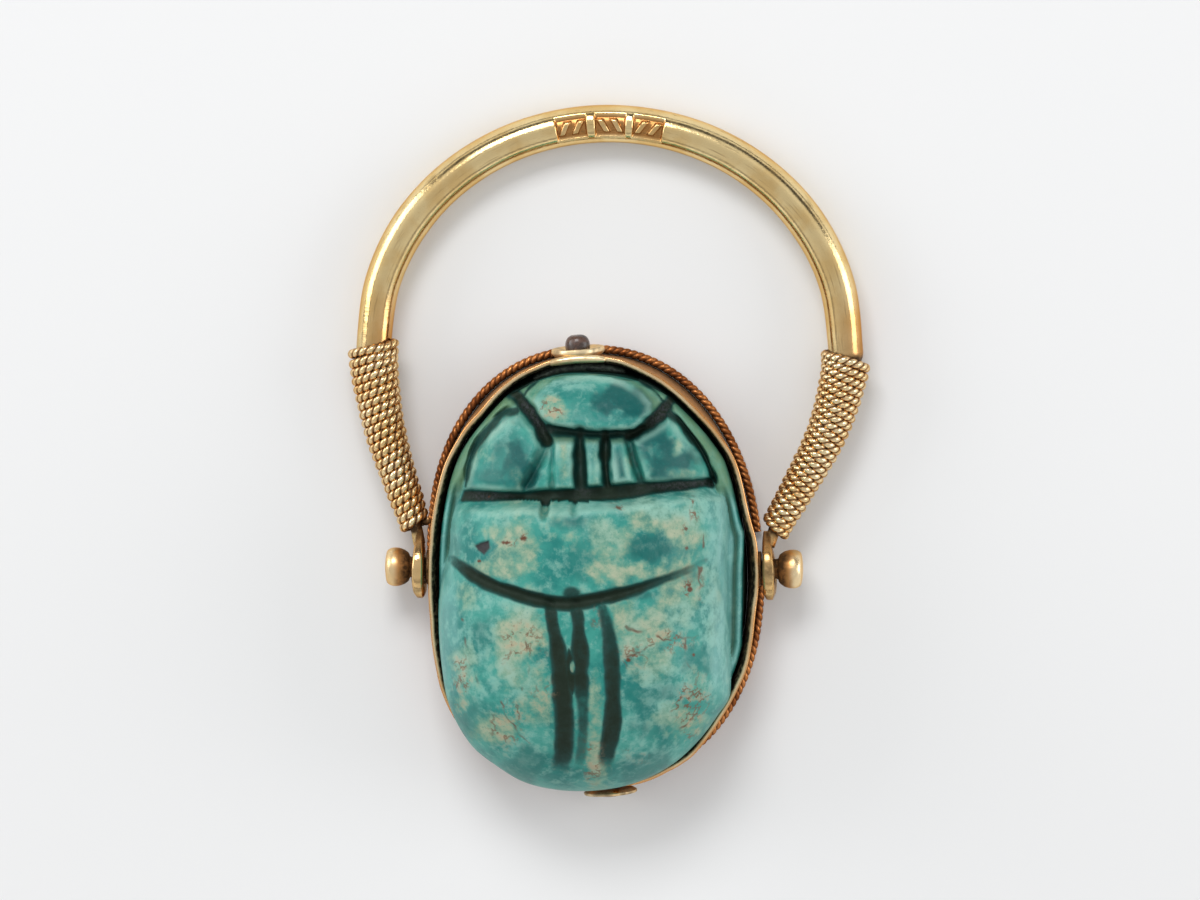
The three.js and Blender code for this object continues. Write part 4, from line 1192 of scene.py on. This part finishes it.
def disc_grid(count):
    """Points of a square grid spread over the unit disc."""
    line = np.linspace(-1, 1, count)
    u, v = np.meshgrid(line, line, indexing="ij")
    return u * np.sqrt(1 - v * v / 2), v * np.sqrt(1 - u * u / 2)


def rounded_rise(distance, width):
    """0 outside an edge, rising like a rounded edge to 1 a width inside it."""
    share = np.clip(distance / width, 0, 1)
    return np.sqrt(np.maximum(1 - (1 - share) ** 2, 0))


def line_at(knots, across):
    return np.interp(across, [knot[0] for knot in knots], [knot[1] for knot in knots])


def patches(s, t, spots, seed):
    """Soft-edged ellipses with wandering edges."""
    spot = np.stack([s, t, 0 * s], -1)
    wander = 0.5 * layered_noise(spot, 0.9, 4, seed)
    total = np.zeros(s.shape)
    for across, up, half_width, half_height, strength in spots:
        reach = np.hypot((s - across) / half_width, (t - up) / half_height) + wander
        total = np.maximum(total, strength * smooth(1.5, 0.35, reach))
    return total


def blurred(grid, passes):
    """The grid with each value mixed with its neighbours' a number of times."""
    for _ in range(passes):
        padded = np.pad(grid, 1, mode="edge")
        grid = (padded[:-2, 1:-1] + padded[2:, 1:-1] + padded[1:-1, :-2] + padded[1:-1, 2:] + 4 * grid) / 8
    return grid


HEAD_SINK = 0.34


def head_forms(s, t, head, wander):
    """Height of the head's plate, cheeks and neck bars, with their pooled middles and pale rims."""
    base = head - HEAD_SINK
    surface = base.copy()
    middle, rim, covered = np.zeros(s.shape), np.zeros(s.shape), np.zeros(s.shape)
    for outline, edge, extra, pooling in HEAD_FORMS:
        distance = polygon_distance(s, t, outline) + 0.7 * wander
        raised = base + (HEAD_SINK + extra) * rounded_rise(distance + 0.04, edge)
        surface = np.where(distance > -0.04, np.maximum(surface, raised), surface)
        middle = np.maximum(middle, pooling * smooth(0.1, 0.6, distance))
        rim = np.maximum(rim, smooth(-0.02, 0.08, distance) * smooth(0.38, 0.12, distance))
        covered = np.maximum(covered, smooth(-0.06, 0.06, distance))
    return surface, middle, rim, covered


def head_cuts(s, t, wander):
    """Depth and darkness of the cuts between the forms of the head."""
    depth, dark = np.zeros(s.shape), np.zeros(s.shape)
    uneven = 1 + 0.28 * noise(np.stack([s, t, 0 * s], -1), 0.55, 5)
    for line, half, deepest, darkness in HEAD_CUTS:
        gap, along = line_distance(s, t, line, 40)
        tapered = half * np.interp(along, [0, 1], [1.2, 0.8]) * uneven
        share = np.clip((gap + 1.3 * wander) / tapered, 0, 1)
        depth = np.maximum(depth, deepest * (1 - share**2) ** 1.5)
        dark = np.maximum(dark, darkness * smooth(1.05, 0.2, share))
    return depth, dark


BAND_EXTRA_BY_HEAD = 0.6
SIDE_GROOVE_INSET = 0.36
SIDE_GROOVE_DEPTH = 0.22
HEAD_CUT_DEPTH = 0.75
# Small nicks in the shield's front edge: (across, half width, reach, sharpness)
SHIELD_NICKS = [(-2.06, 0.17, 0.34, 4), (-0.88, 0.15, 0.2, 2)]


def leg_band(to_edge, by_head):
    """Height of the leg band, low along the sides and high beside the head, and its side groove."""
    side_groove = np.exp(-((to_edge - SIDE_GROOVE_INSET) / 0.11) ** 2) * (1 - by_head)
    height = BAND_HEIGHT - 0.3 * (1 - rounded_rise(to_edge, 0.22))
    height = height + by_head * BAND_EXTRA_BY_HEAD * rounded_rise(to_edge, 0.5)
    return height - SIDE_GROOVE_DEPTH * side_groove, side_groove


def trough(gap, half):
    """Depth, from 0 to 1, of a round-bottomed cut."""
    return (1 - np.clip(gap / half, 0, 1) ** 2) ** 2


def wing_cuts(s, t, wander):
    """Depth and darkness of the curved cut across the back and the lines behind it."""
    gap, along = line_distance(s, t, WING_CURVE)
    gap = gap + 0.8 * wander
    weight = smooth(-0.02, 0.14, along) * smooth(0.97, 0.60, along)
    strength, half = 0.3 + 0.7 * weight, 0.2 + 0.15 * weight
    depth = 0.30 * strength * trough(gap, half)
    spot_above = smooth(1.1, 0.3, np.hypot((s + 0.95) / 0.5, (t + 0.98) / 0.38) + 2 * wander)
    dark = np.maximum(strength * smooth(half * 1.25, half * 0.3, gap), 0.6 * spot_above)
    for line, widths in WING_LINES:
        gap, along = line_distance(s, t, line)
        gap = gap + wander
        below, halves, tones = zip(*widths)
        half, tone = np.interp(-t, below, halves), np.interp(-t, below, tones)
        fade = smooth(-1.1, -1.45, t) * smooth(1.02, 0.85, along)
        depth = depth + 0.14 * fade * trough(gap, half)
        dark = np.maximum(dark, tone * fade * smooth(half * 1.2, half * 0.4, gap))
    merged = smooth(-0.12, 0.1, polygon_distance(s, t, WING_LINES_MERGE) + wander)
    island = smooth(0.36, 0.16, np.hypot((s + 0.92) * 2.4, t + 3.9))
    return depth, np.maximum(dark, 0.95 * merged), island


def cracks(s, t, spot, wander):
    """Fine crooked cracks, from 0 to 1."""
    crooked_s = s + 0.16 * noise(spot, 0.55, 16) + 0.06 * noise(spot, 0.2, 17)
    crooked_t = t + 0.16 * noise(spot, 0.55, 18) + 0.06 * noise(spot, 0.2, 19)
    broken = smooth(-0.35, 0.25, noise(spot, 0.5, 15))
    crack = np.zeros(s.shape)
    for line in CRACKS:
        gap, _ = line_distance(crooked_s, crooked_t, line, 24)
        crack = np.maximum(crack, broken * smooth(0.085, 0.03, gap + 0.8 * np.abs(wander)))
    return crack


def specks(s, t, wander):
    speck = np.zeros(s.shape)
    for across, up, half_width, half_height in SPECKS:
        reach = np.hypot((s - across) / half_width, (t - up) / half_height) + 6 * wander
        speck = np.maximum(speck, smooth(1.15, 0.75, reach))
    return speck


def cut_sides(s, t, wander):
    """How far a point lies behind the deep cut's edge on the shield, and before its edge on the head."""
    nicks = sum(reach * np.exp(-((s - across) / half) ** power)
                for across, half, reach, power in SHIELD_NICKS)
    behind = line_at(SHIELD_EDGE, s) - nicks - t + 0.6 * wander
    return behind, t - line_at(HEAD_EDGE, s) + 0.6 * wander


def carve(x, y, body_rim, band_rim):
    """Height of the carved top at each point, and what its glaze looks like there."""
    angles = np.arctan2(y - BODY_CENTRE[1], x - BODY_CENTRE[0])
    out = np.hypot(x - BODY_CENTRE[0], y - BODY_CENTRE[1])
    body_r = np.interp(angles, *body_rim, period=TURN)
    to_edge = np.interp(angles, *band_rim, period=TURN) - out
    back = BODY_RIM + BODY_RISE * dome(out / body_r)
    head = HEAD_RIM + HEAD_RISE * dome(rim_share(x, y, HEAD_CENTRE, HEAD_HALF_WIDTH, HEAD_HALF_LENGTH))
    s, t = seen(x, y, np.maximum(np.where(y > 3.1, head, back), BAND_HEIGHT))
    spot = np.stack([x, y, np.maximum(head, back)], -1)
    wander = 0.06 * noise(spot, 0.9, 3) + 0.03 * noise(spot, 0.35, 4)

    # Leg band, and the head standing up inside it
    by_head = smooth(2.3, 3.6, t)
    band, side_groove = leg_band(to_edge, by_head)
    head_inside = polygon_distance(s, t, HEAD_AREA) + 0.5 * wander
    head_area = smooth(-0.16, 0.02, head_inside)
    head_top, head_pool, head_rim, covered = head_forms(s, t, head, wander)
    cut_depth, front_dark = head_cuts(s, t, wander)
    front = band + (np.maximum(head_top, band) - band) * head_area
    front = np.maximum(front - cut_depth, np.minimum(front, BAND_HEIGHT))

    # Shield and wing cases behind the deep cut
    behind, before = cut_sides(s, t, wander)
    inside_cut = smooth(-0.12, 0.14, -before) * smooth(-0.1, 0.1, head_inside)
    cut_floor = head - HEAD_CUT_DEPTH
    sinking = (np.minimum(cut_floor, front) - front) * smooth(0.14, -0.06, before) * head_area
    front = np.where(before < 0.14, front + sinking, front)
    back_top = cut_floor + (back - cut_floor) * smooth(-0.05, 0.42, behind) ** 0.75
    back_top = back_top - 0.2 * (1 - rounded_rise(body_r - out, 0.2))
    on_back = (behind > -0.05) & (out < body_r + 0.02)
    surface = np.where(on_back, np.maximum(back_top, band), front)
    on_back = on_back & (back_top > band)
    off_back = 1 - smooth(-0.08, 0.1, behind) * (out < body_r)
    wing_depth, wing_dark, island = wing_cuts(s, t, wander)
    surface = surface - on_back * wing_depth
    # The cuts' darkness is pooled glaze and painted shade
    groove = np.maximum(off_back * np.maximum(0.95 * inside_cut, front_dark), on_back * wing_dark)

    # Hand-carved unevenness, pits, the chip in the shield and fine cracks
    chip = smooth(-0.03, 0.06, polygon_distance(s, t, CHIP) + 0.6 * wander)
    crack = cracks(s, t, spot, wander)
    surface = surface + 0.035 * noise(spot, 1.9, 12) + 0.02 * noise(spot, 0.7, 13)
    surface = surface - 0.02 * smooth(0.45, 0.75, noise(spot, 0.28, 14)) - 0.09 * chip - 0.04 * crack

    return surface, {
        "s": s, "t": t, "to_edge": to_edge, "on_back": on_back, "off_back": off_back,
        "head_area": head_area, "groove": groove * (1 - 0.7 * island), "chip": chip,
        "stain": np.maximum(0.8 * crack, specks(s, t, wander)),
        "side_groove": side_groove * ~on_back, "by_head": by_head * ~on_back * (1 - head_area),
        "pool": head_pool * off_back, "rim": head_rim * off_back,
        "lobes": head_area * (1 - covered) * smooth(5.9, 6.4, t),
    }


def glaze_masks(surface, looks):
    """Where the glaze is sandy, pooled, worn or stained, and where shade and highlights are painted, as mesh
    attributes.
    """
    s, t = looks["s"], looks["t"]
    open_glaze, off_back = 1 - looks["groove"], looks["off_back"]
    spot = np.stack([s, t, 0 * s], -1)

    # Worn edges, and painted shade in the hollows of the head
    standing = surface - blurred(surface, 7)
    edge = 0.6 * blurred(smooth(0.015, 0.1, standing), 2) * open_glaze
    rim = 0.75 * looks["rim"] * np.clip(0.6 + 0.9 * noise(spot, 0.8, 93), 0, 1) * open_glaze
    cavity_shade = smooth(-0.03, -0.16, standing) * ~looks["on_back"]
    groove = np.maximum(looks["groove"], 0.5 * cavity_shade * looks["head_area"])

    # Sandy and pooled patches
    sand = patches(s, t, SAND_PATCHES, 71)
    teal = np.maximum(patches(s, t, TEAL_PATCHES, 81), looks["pool"]) * (1 - 0.8 * sand)

    # Olive green, partly mottled glaze and partly painted shade: in the side groove, on the inner part of the
    # band beside the head, and as a painted shadow under the plate across the neck
    mottled = smooth(-0.8, 0.2, layered_noise(spot, 0.6, 2, 91)) * (0.55 + 0.45 * smooth(1.0, -1.0, s))
    band_olive_and_shade = looks["by_head"] * smooth(0.25, 0.6, looks["to_edge"]) * mottled
    neck_shade = smooth(0.35, 0.1, np.abs(t - 5.2)) * smooth(1.9, 1.5, np.abs(s + 0.3))
    olive_and_shade = np.maximum(np.maximum(0.7 * looks["side_groove"], 0.75 * band_olive_and_shade), 0.7 * neck_shade)

    # Painted pale blue highlight down the sides, and pale blue along the low outer edge of the band
    streaks = 0.65 + 0.35 * noise(np.stack([s, 0.15 * t, 0 * s], -1), 0.16, 92)
    side_highlight = np.maximum(smooth(4.3, 5.0, s), 0.6 * smooth(-5.2, -5.7, s))
    side_highlight = side_highlight * smooth(-5.6, -4.0, t) * looks["on_back"]
    low_band = smooth(0.03, 0.12, looks["to_edge"]) * ~looks["on_back"] * (1 - looks["head_area"])
    blue = 0.6 * side_highlight * streaks + 0.45 * low_band * (1 - 0.6 * looks["by_head"])
    return {
        "groove": np.clip(groove, 0, 1), "sand": sand * (1.15 - 0.3 * off_back), "teal": teal,
        "olive_and_shade": np.clip(olive_and_shade, 0, 1), "green": np.maximum(looks["by_head"], 0.8 * looks["lobes"]),
        "pale": patches(s, t, PALE_PATCHES, 131), "rust": patches(s, t, RUST_PATCHES, 101),
        "grey": patches(s, t, GREY_FILLER, 95) * smooth(0.45, 0.9, groove),
        "edge": np.maximum(edge, rim), "blue": blue, "chip": looks["chip"], "stain": looks["stain"],
    }


# Plain shallow line cut round the flat underside: (distance in from its edge, height)
UNDERSIDE_LINE = [(0.75, 0.0), (0.85, 0.1), (0.95, 0.16), (1.05, 0.1), (1.15, 0.0)]


def underside_rows(outer, rim_height, inner, foot):
    """Rows of (distance from the centre, height) from the carved rim down, in and under."""
    level = 0 * outer
    rows = [
        (outer + 0.01, rim_height - 0.06), (outer, rim_height - 0.14),
        (inner * 0.6 + outer * 0.4, np.minimum(rim_height - 0.22, 2.56)),
        (inner, 2.3 + level), ((inner + foot) / 2, 1.4 + level), (foot, 0.5 + level),
        (foot, 0.14 + level), (foot - 0.05, 0.04 + level), (foot - 0.14, level),
    ]
    rows += [(foot - inset, height + level) for inset, height in UNDERSIDE_LINE]
    rows += [(foot * share, level) for share in (0.7, 0.45, 0.2)]
    return rows


GRID_COUNT = 276


def at_angle(angles, distance):
    """Points at distances from the body's centre."""
    return BODY_CENTRE[0] + distance * np.cos(angles), BODY_CENTRE[1] + distance * np.sin(angles)


# The head's side of the outline: its middle and half its reach, in degrees
HEAD_DIRECTION = 88
HEAD_REACH = 44


def scarab_outline(angles):
    """Rims of the body and of the leg band, and the outline round both, at each angle."""
    body = rim_radius(BODY_RIM_SEEN, BODY_RIM, angles)
    facing_head = smooth(1.0, 0.85, np.abs((np.degrees(angles) - HEAD_DIRECTION) / HEAD_REACH))
    body = body + (seat_radius(angles, -0.35, BAND_HEIGHT) - body) * facing_head
    seat = seat_radius(angles, 0.03, BAND_HEIGHT)
    band = np.minimum(rim_radius(BAND_RIM_SEEN, BAND_HEIGHT, angles), seat)
    return body, band, np.maximum(np.where(facing_head > 0.5, 0, body), band)


def make_scarab():
    """Carved top on a square grid spread over the outline, then the sides and the flat underside."""
    angles = np.linspace(-math.pi, math.pi, 1441)
    body, band, outline = scarab_outline(angles)
    u, v = disc_grid(GRID_COUNT)
    around = np.arctan2(v, u)
    reach = np.interp(around, angles, outline, period=TURN) * np.hypot(u, v)
    x, y = at_angle(around, reach)
    surface, looks = carve(x, y, (angles, body), (angles, band))
    surface = surface * 0.4 + blurred(surface, 3) * 0.6
    masks = glaze_masks(surface, looks)

    points = np.stack([x, y, surface], -1).reshape(-1, 3)
    faces = grid_faces(GRID_COUNT, GRID_COUNT, close_columns=False)
    numbers = np.arange(GRID_COUNT**2).reshape(GRID_COUNT, GRID_COUNT)
    rim = np.concatenate([numbers[0, :-1], numbers[:-1, -1], numbers[-1, :0:-1], numbers[:0:-1, 0]])
    rim_points = points[rim]
    dx, dy = rim_points[:, 0] - BODY_CENTRE[0], rim_points[:, 1] - BODY_CENTRE[1]
    rim_angles = np.arctan2(dy, dx)
    inner = np.interp(rim_angles, angles, np.minimum(seat_radius(angles, -0.02, 2.2), band), period=TURN)
    foot = seat_radius(rim_angles, SEAT_CLEARANCE - 0.03, 0.3)
    rows = underside_rows(np.hypot(dx, dy), rim_points[:, 2], inner, foot)
    side = np.concatenate([
        np.stack([*at_angle(rim_angles, distance), height], -1) for distance, height in rows])
    columns, start = len(rim), len(points)
    for a in range(columns):
        b = (a + 1) % columns
        faces.append([int(rim[b]), int(rim[a]), start + a, start + b])
    faces += [face[::-1] for face in grid_faces(len(rows), columns, start=start)]
    last = list(range(start + (len(rows) - 1) * columns, start + len(rows) * columns))
    all_points = np.vstack([points, side, [[*BODY_CENTRE, 0]]])
    faces += cap_faces(last, len(all_points) - 1, True)
    faces = facing_out(all_points, faces)

    mottled = smooth(-0.2, 0.6, layered_noise(side, 1.2, 3, 111))
    # Painted shade on the sides: dark from 0.35 mm to 2.5 mm up inside the seat, and a little olive all over;
    # the sand and teal are mottled glaze
    side_masks = {
        "groove": 0.9 * smooth(2.5, 2.2, side[:, 2]) * smooth(0.35, 0.6, side[:, 2]),
        "sand": 0.6 * mottled, "teal": 0.5 * (1 - mottled), "olive_and_shade": 0.25 + 0 * mottled,
    }
    attributes = {}
    for key, values in masks.items():
        extra = side_masks.get(key, np.zeros(len(side)))
        attributes[key] = np.concatenate([values.ravel(), extra, [extra[-1]]])
    return make_mesh("carved_scarab", all_points, faces, turquoise_glaze, attributes)


pieces["scarab"] = make_scarab()

CEMENT_HEIGHT = 1.75


def make_cement():
    """Rough dark filler between the beetle's head and the wall."""
    turns = np.linspace(math.radians(74), math.radians(106), 60)
    rings = []
    angles = np.linspace(0, TURN, 14, endpoint=False)
    for turn in turns:
        middle = setting_point(turn, 0.0, CEMENT_HEIGHT)
        outward = setting_point(turn, 0.5, CEMENT_HEIGHT) - middle
        outward /= np.linalg.norm(outward)
        end = math.sin((turn - turns[0]) / (turns[-1] - turns[0]) * math.pi) ** 0.4
        around = np.cos(angles)[:, None] * outward * 0.9 + np.sin(angles)[:, None] * np.array([0, 0, 1.9])
        rings.append(middle + (0.04 + 0.2 * end) * around)
    rings = np.array(rings)
    rings = rings + 0.07 * layered_noise(rings, 0.25, 3, 121)[..., None] * np.array([0, 0, 1.0])
    points, faces = loft(rings)
    return make_mesh("dark_cement_fill", points, faces, dark_cement)


cement = make_cement()

# What each piece rides on and stands for

HOOP_NODES = ("shank", "wire_wrap_left", "wire_wrap_right")
for node, piece in pieces.items():
    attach(piece, "hoop" if node in HOOP_NODES else "setting")
    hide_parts(node)
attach(cement, "setting")

# Studio: pale floor, light tent and camera


FLOOR_COLOR = (0.84, 0.845, 0.85)
FLOOR_HALF_SIDE = 600


def make_floor():
    n = Nodes("pale_floor")
    material = n.finish(FLOOR_COLOR, 0.55, Specular_IOR_Level=0.2)
    half = FLOOR_HALF_SIDE
    corners = [(-half, -half, 0), (half, -half, 0), (half, half, 0), (-half, half, 0)]
    floor = make_mesh("floor", corners, [(0, 1, 2, 3)], material, smooth_faces=False)


# Brightness of the tent by height: (sine of the elevation, value)
TENT_PLAIN = [
    (0.0, 0.05), (0.06, 0.07), (0.12, 1.05), (0.46, 1.25), (0.54, 0.35), (0.62, 0.40), (0.70, 0.85),
    (0.85, 0.80), (1.0, 0.72),
]
TENT_SEAM = [
    (0.0, 0.05), (0.06, 0.07), (0.12, 1.05), (0.26, 1.10), (0.32, 0.10), (0.54, 0.08), (0.62, 0.90),
    (0.78, 1.0), (0.88, 0.80), (1.0, 0.72),
]


TENT_STRENGTH = 0.78


def make_world():
    """Light tent: bright sides, a dark horizon, and a dark seam high up towards the hoop's top."""
    world = bpy.data.worlds.new("light_tent")
    world.use_nodes = True
    bpy.context.scene.world = world
    tree = world.node_tree
    back = tree.nodes["Background"]
    place = tree.nodes.new("ShaderNodeTexCoord")
    split = tree.nodes.new("ShaderNodeSeparateXYZ")
    tree.links.new(place.outputs["Generated"], split.inputs[0])
    tones = []
    for stops in (TENT_PLAIN, TENT_SEAM):
        ramp = tree.nodes.new("ShaderNodeValToRGB")
        tree.links.new(split.outputs["Z"], ramp.inputs[0])
        first, last = ramp.color_ramp.elements
        for stop, (position, value) in ((first, stops[0]), (last, stops[-1])):
            stop.position = position
            stop.color = (value, value, value, 1)
        for position, value in stops[1:-1]:
            ramp.color_ramp.elements.new(position).color = (value, value, value, 1)
        tones.append(ramp.outputs[0])
    toward_top = tree.nodes.new("ShaderNodeMapRange")
    tree.links.new(split.outputs["Y"], toward_top.inputs["Value"])
    toward_top.inputs["From Min"].default_value = 0.0
    toward_top.inputs["From Max"].default_value = 0.45
    blend = tree.nodes.new("ShaderNodeMix")
    blend.data_type = "RGBA"
    tree.links.new(toward_top.outputs["Result"], blend.inputs[0])
    tree.links.new(tones[0], blend.inputs[6])
    tree.links.new(tones[1], blend.inputs[7])
    tree.links.new(blend.outputs[2], back.inputs["Color"])
    back.inputs["Strength"].default_value = TENT_STRENGTH


def add_softbox(name, place_mm, size_mm, power, target=(0, 2, 3)):
    light = bpy.data.lights.new(name, "AREA")
    light.shape = "RECTANGLE"
    light.size, light.size_y = size_mm[0] * MM, size_mm[1] * MM
    light.energy = power
    thing = bpy.data.objects.new(name, light)
    thing.location = Vector(place_mm) * MM
    aim = (Vector(target) - Vector(place_mm)).normalized()
    thing.rotation_euler = aim.to_track_quat("-Z", "Y").to_euler()
    bpy.context.scene.collection.objects.link(thing)


PHOTO_WIDTH = 1200
PHOTO_HEIGHT = 900
PHOTO_PIXELS_PER_MM = 25
PHOTO_AXIS_PIXEL = (595.5, 568)
CAMERA_DISTANCE = 500.0


def make_camera():
    """Almost straight above the lying ring, leaning a little to its head and right."""
    middle_right = (PHOTO_WIDTH / 2 - PHOTO_AXIS_PIXEL[0]) / PHOTO_PIXELS_PER_MM
    middle_up = (PHOTO_AXIS_PIXEL[1] - PHOTO_HEIGHT / 2) / PHOTO_PIXELS_PER_MM
    x, y = unseen(middle_right, middle_up, AXIS_HEIGHT)
    target = Vector((x, y, AXIS_HEIGHT))
    toward = Vector((VIEW_RIGHT, VIEW_HEAD, 1)).normalized()
    camera = bpy.data.cameras.new("camera")
    camera.sensor_width = 36
    camera.lens = camera.sensor_width * CAMERA_DISTANCE * PHOTO_PIXELS_PER_MM / PHOTO_WIDTH
    camera.clip_start = 0.01
    camera.clip_end = 20
    thing = bpy.data.objects.new("camera", camera)
    thing.location = (target + toward * CAMERA_DISTANCE) * MM
    right = Vector((0, 1, 0)).cross(toward).normalized()
    up = toward.cross(right)
    rotation = np.array([right, up, toward]).T
    thing.rotation_euler = Matrix(rotation.tolist()).to_euler()
    bpy.context.scene.collection.objects.link(thing)
    bpy.context.scene.camera = thing


# Each softbox: (name, place in millimetres, size in millimetres, power in watts)
SOFTBOXES = [
    ("left_softbox", (-300, 120, 110), (200, 200), 0.36),
    ("right_softbox", (300, 40, 110), (200, 200), 0.32),
    ("top_softbox", (-60, 280, 290), (200, 120), 0.70),
]

make_floor()
make_world()
for softbox in SOFTBOXES:
    add_softbox(*softbox)
make_camera()
bpy.context.scene.view_settings.view_transform = "Standard"
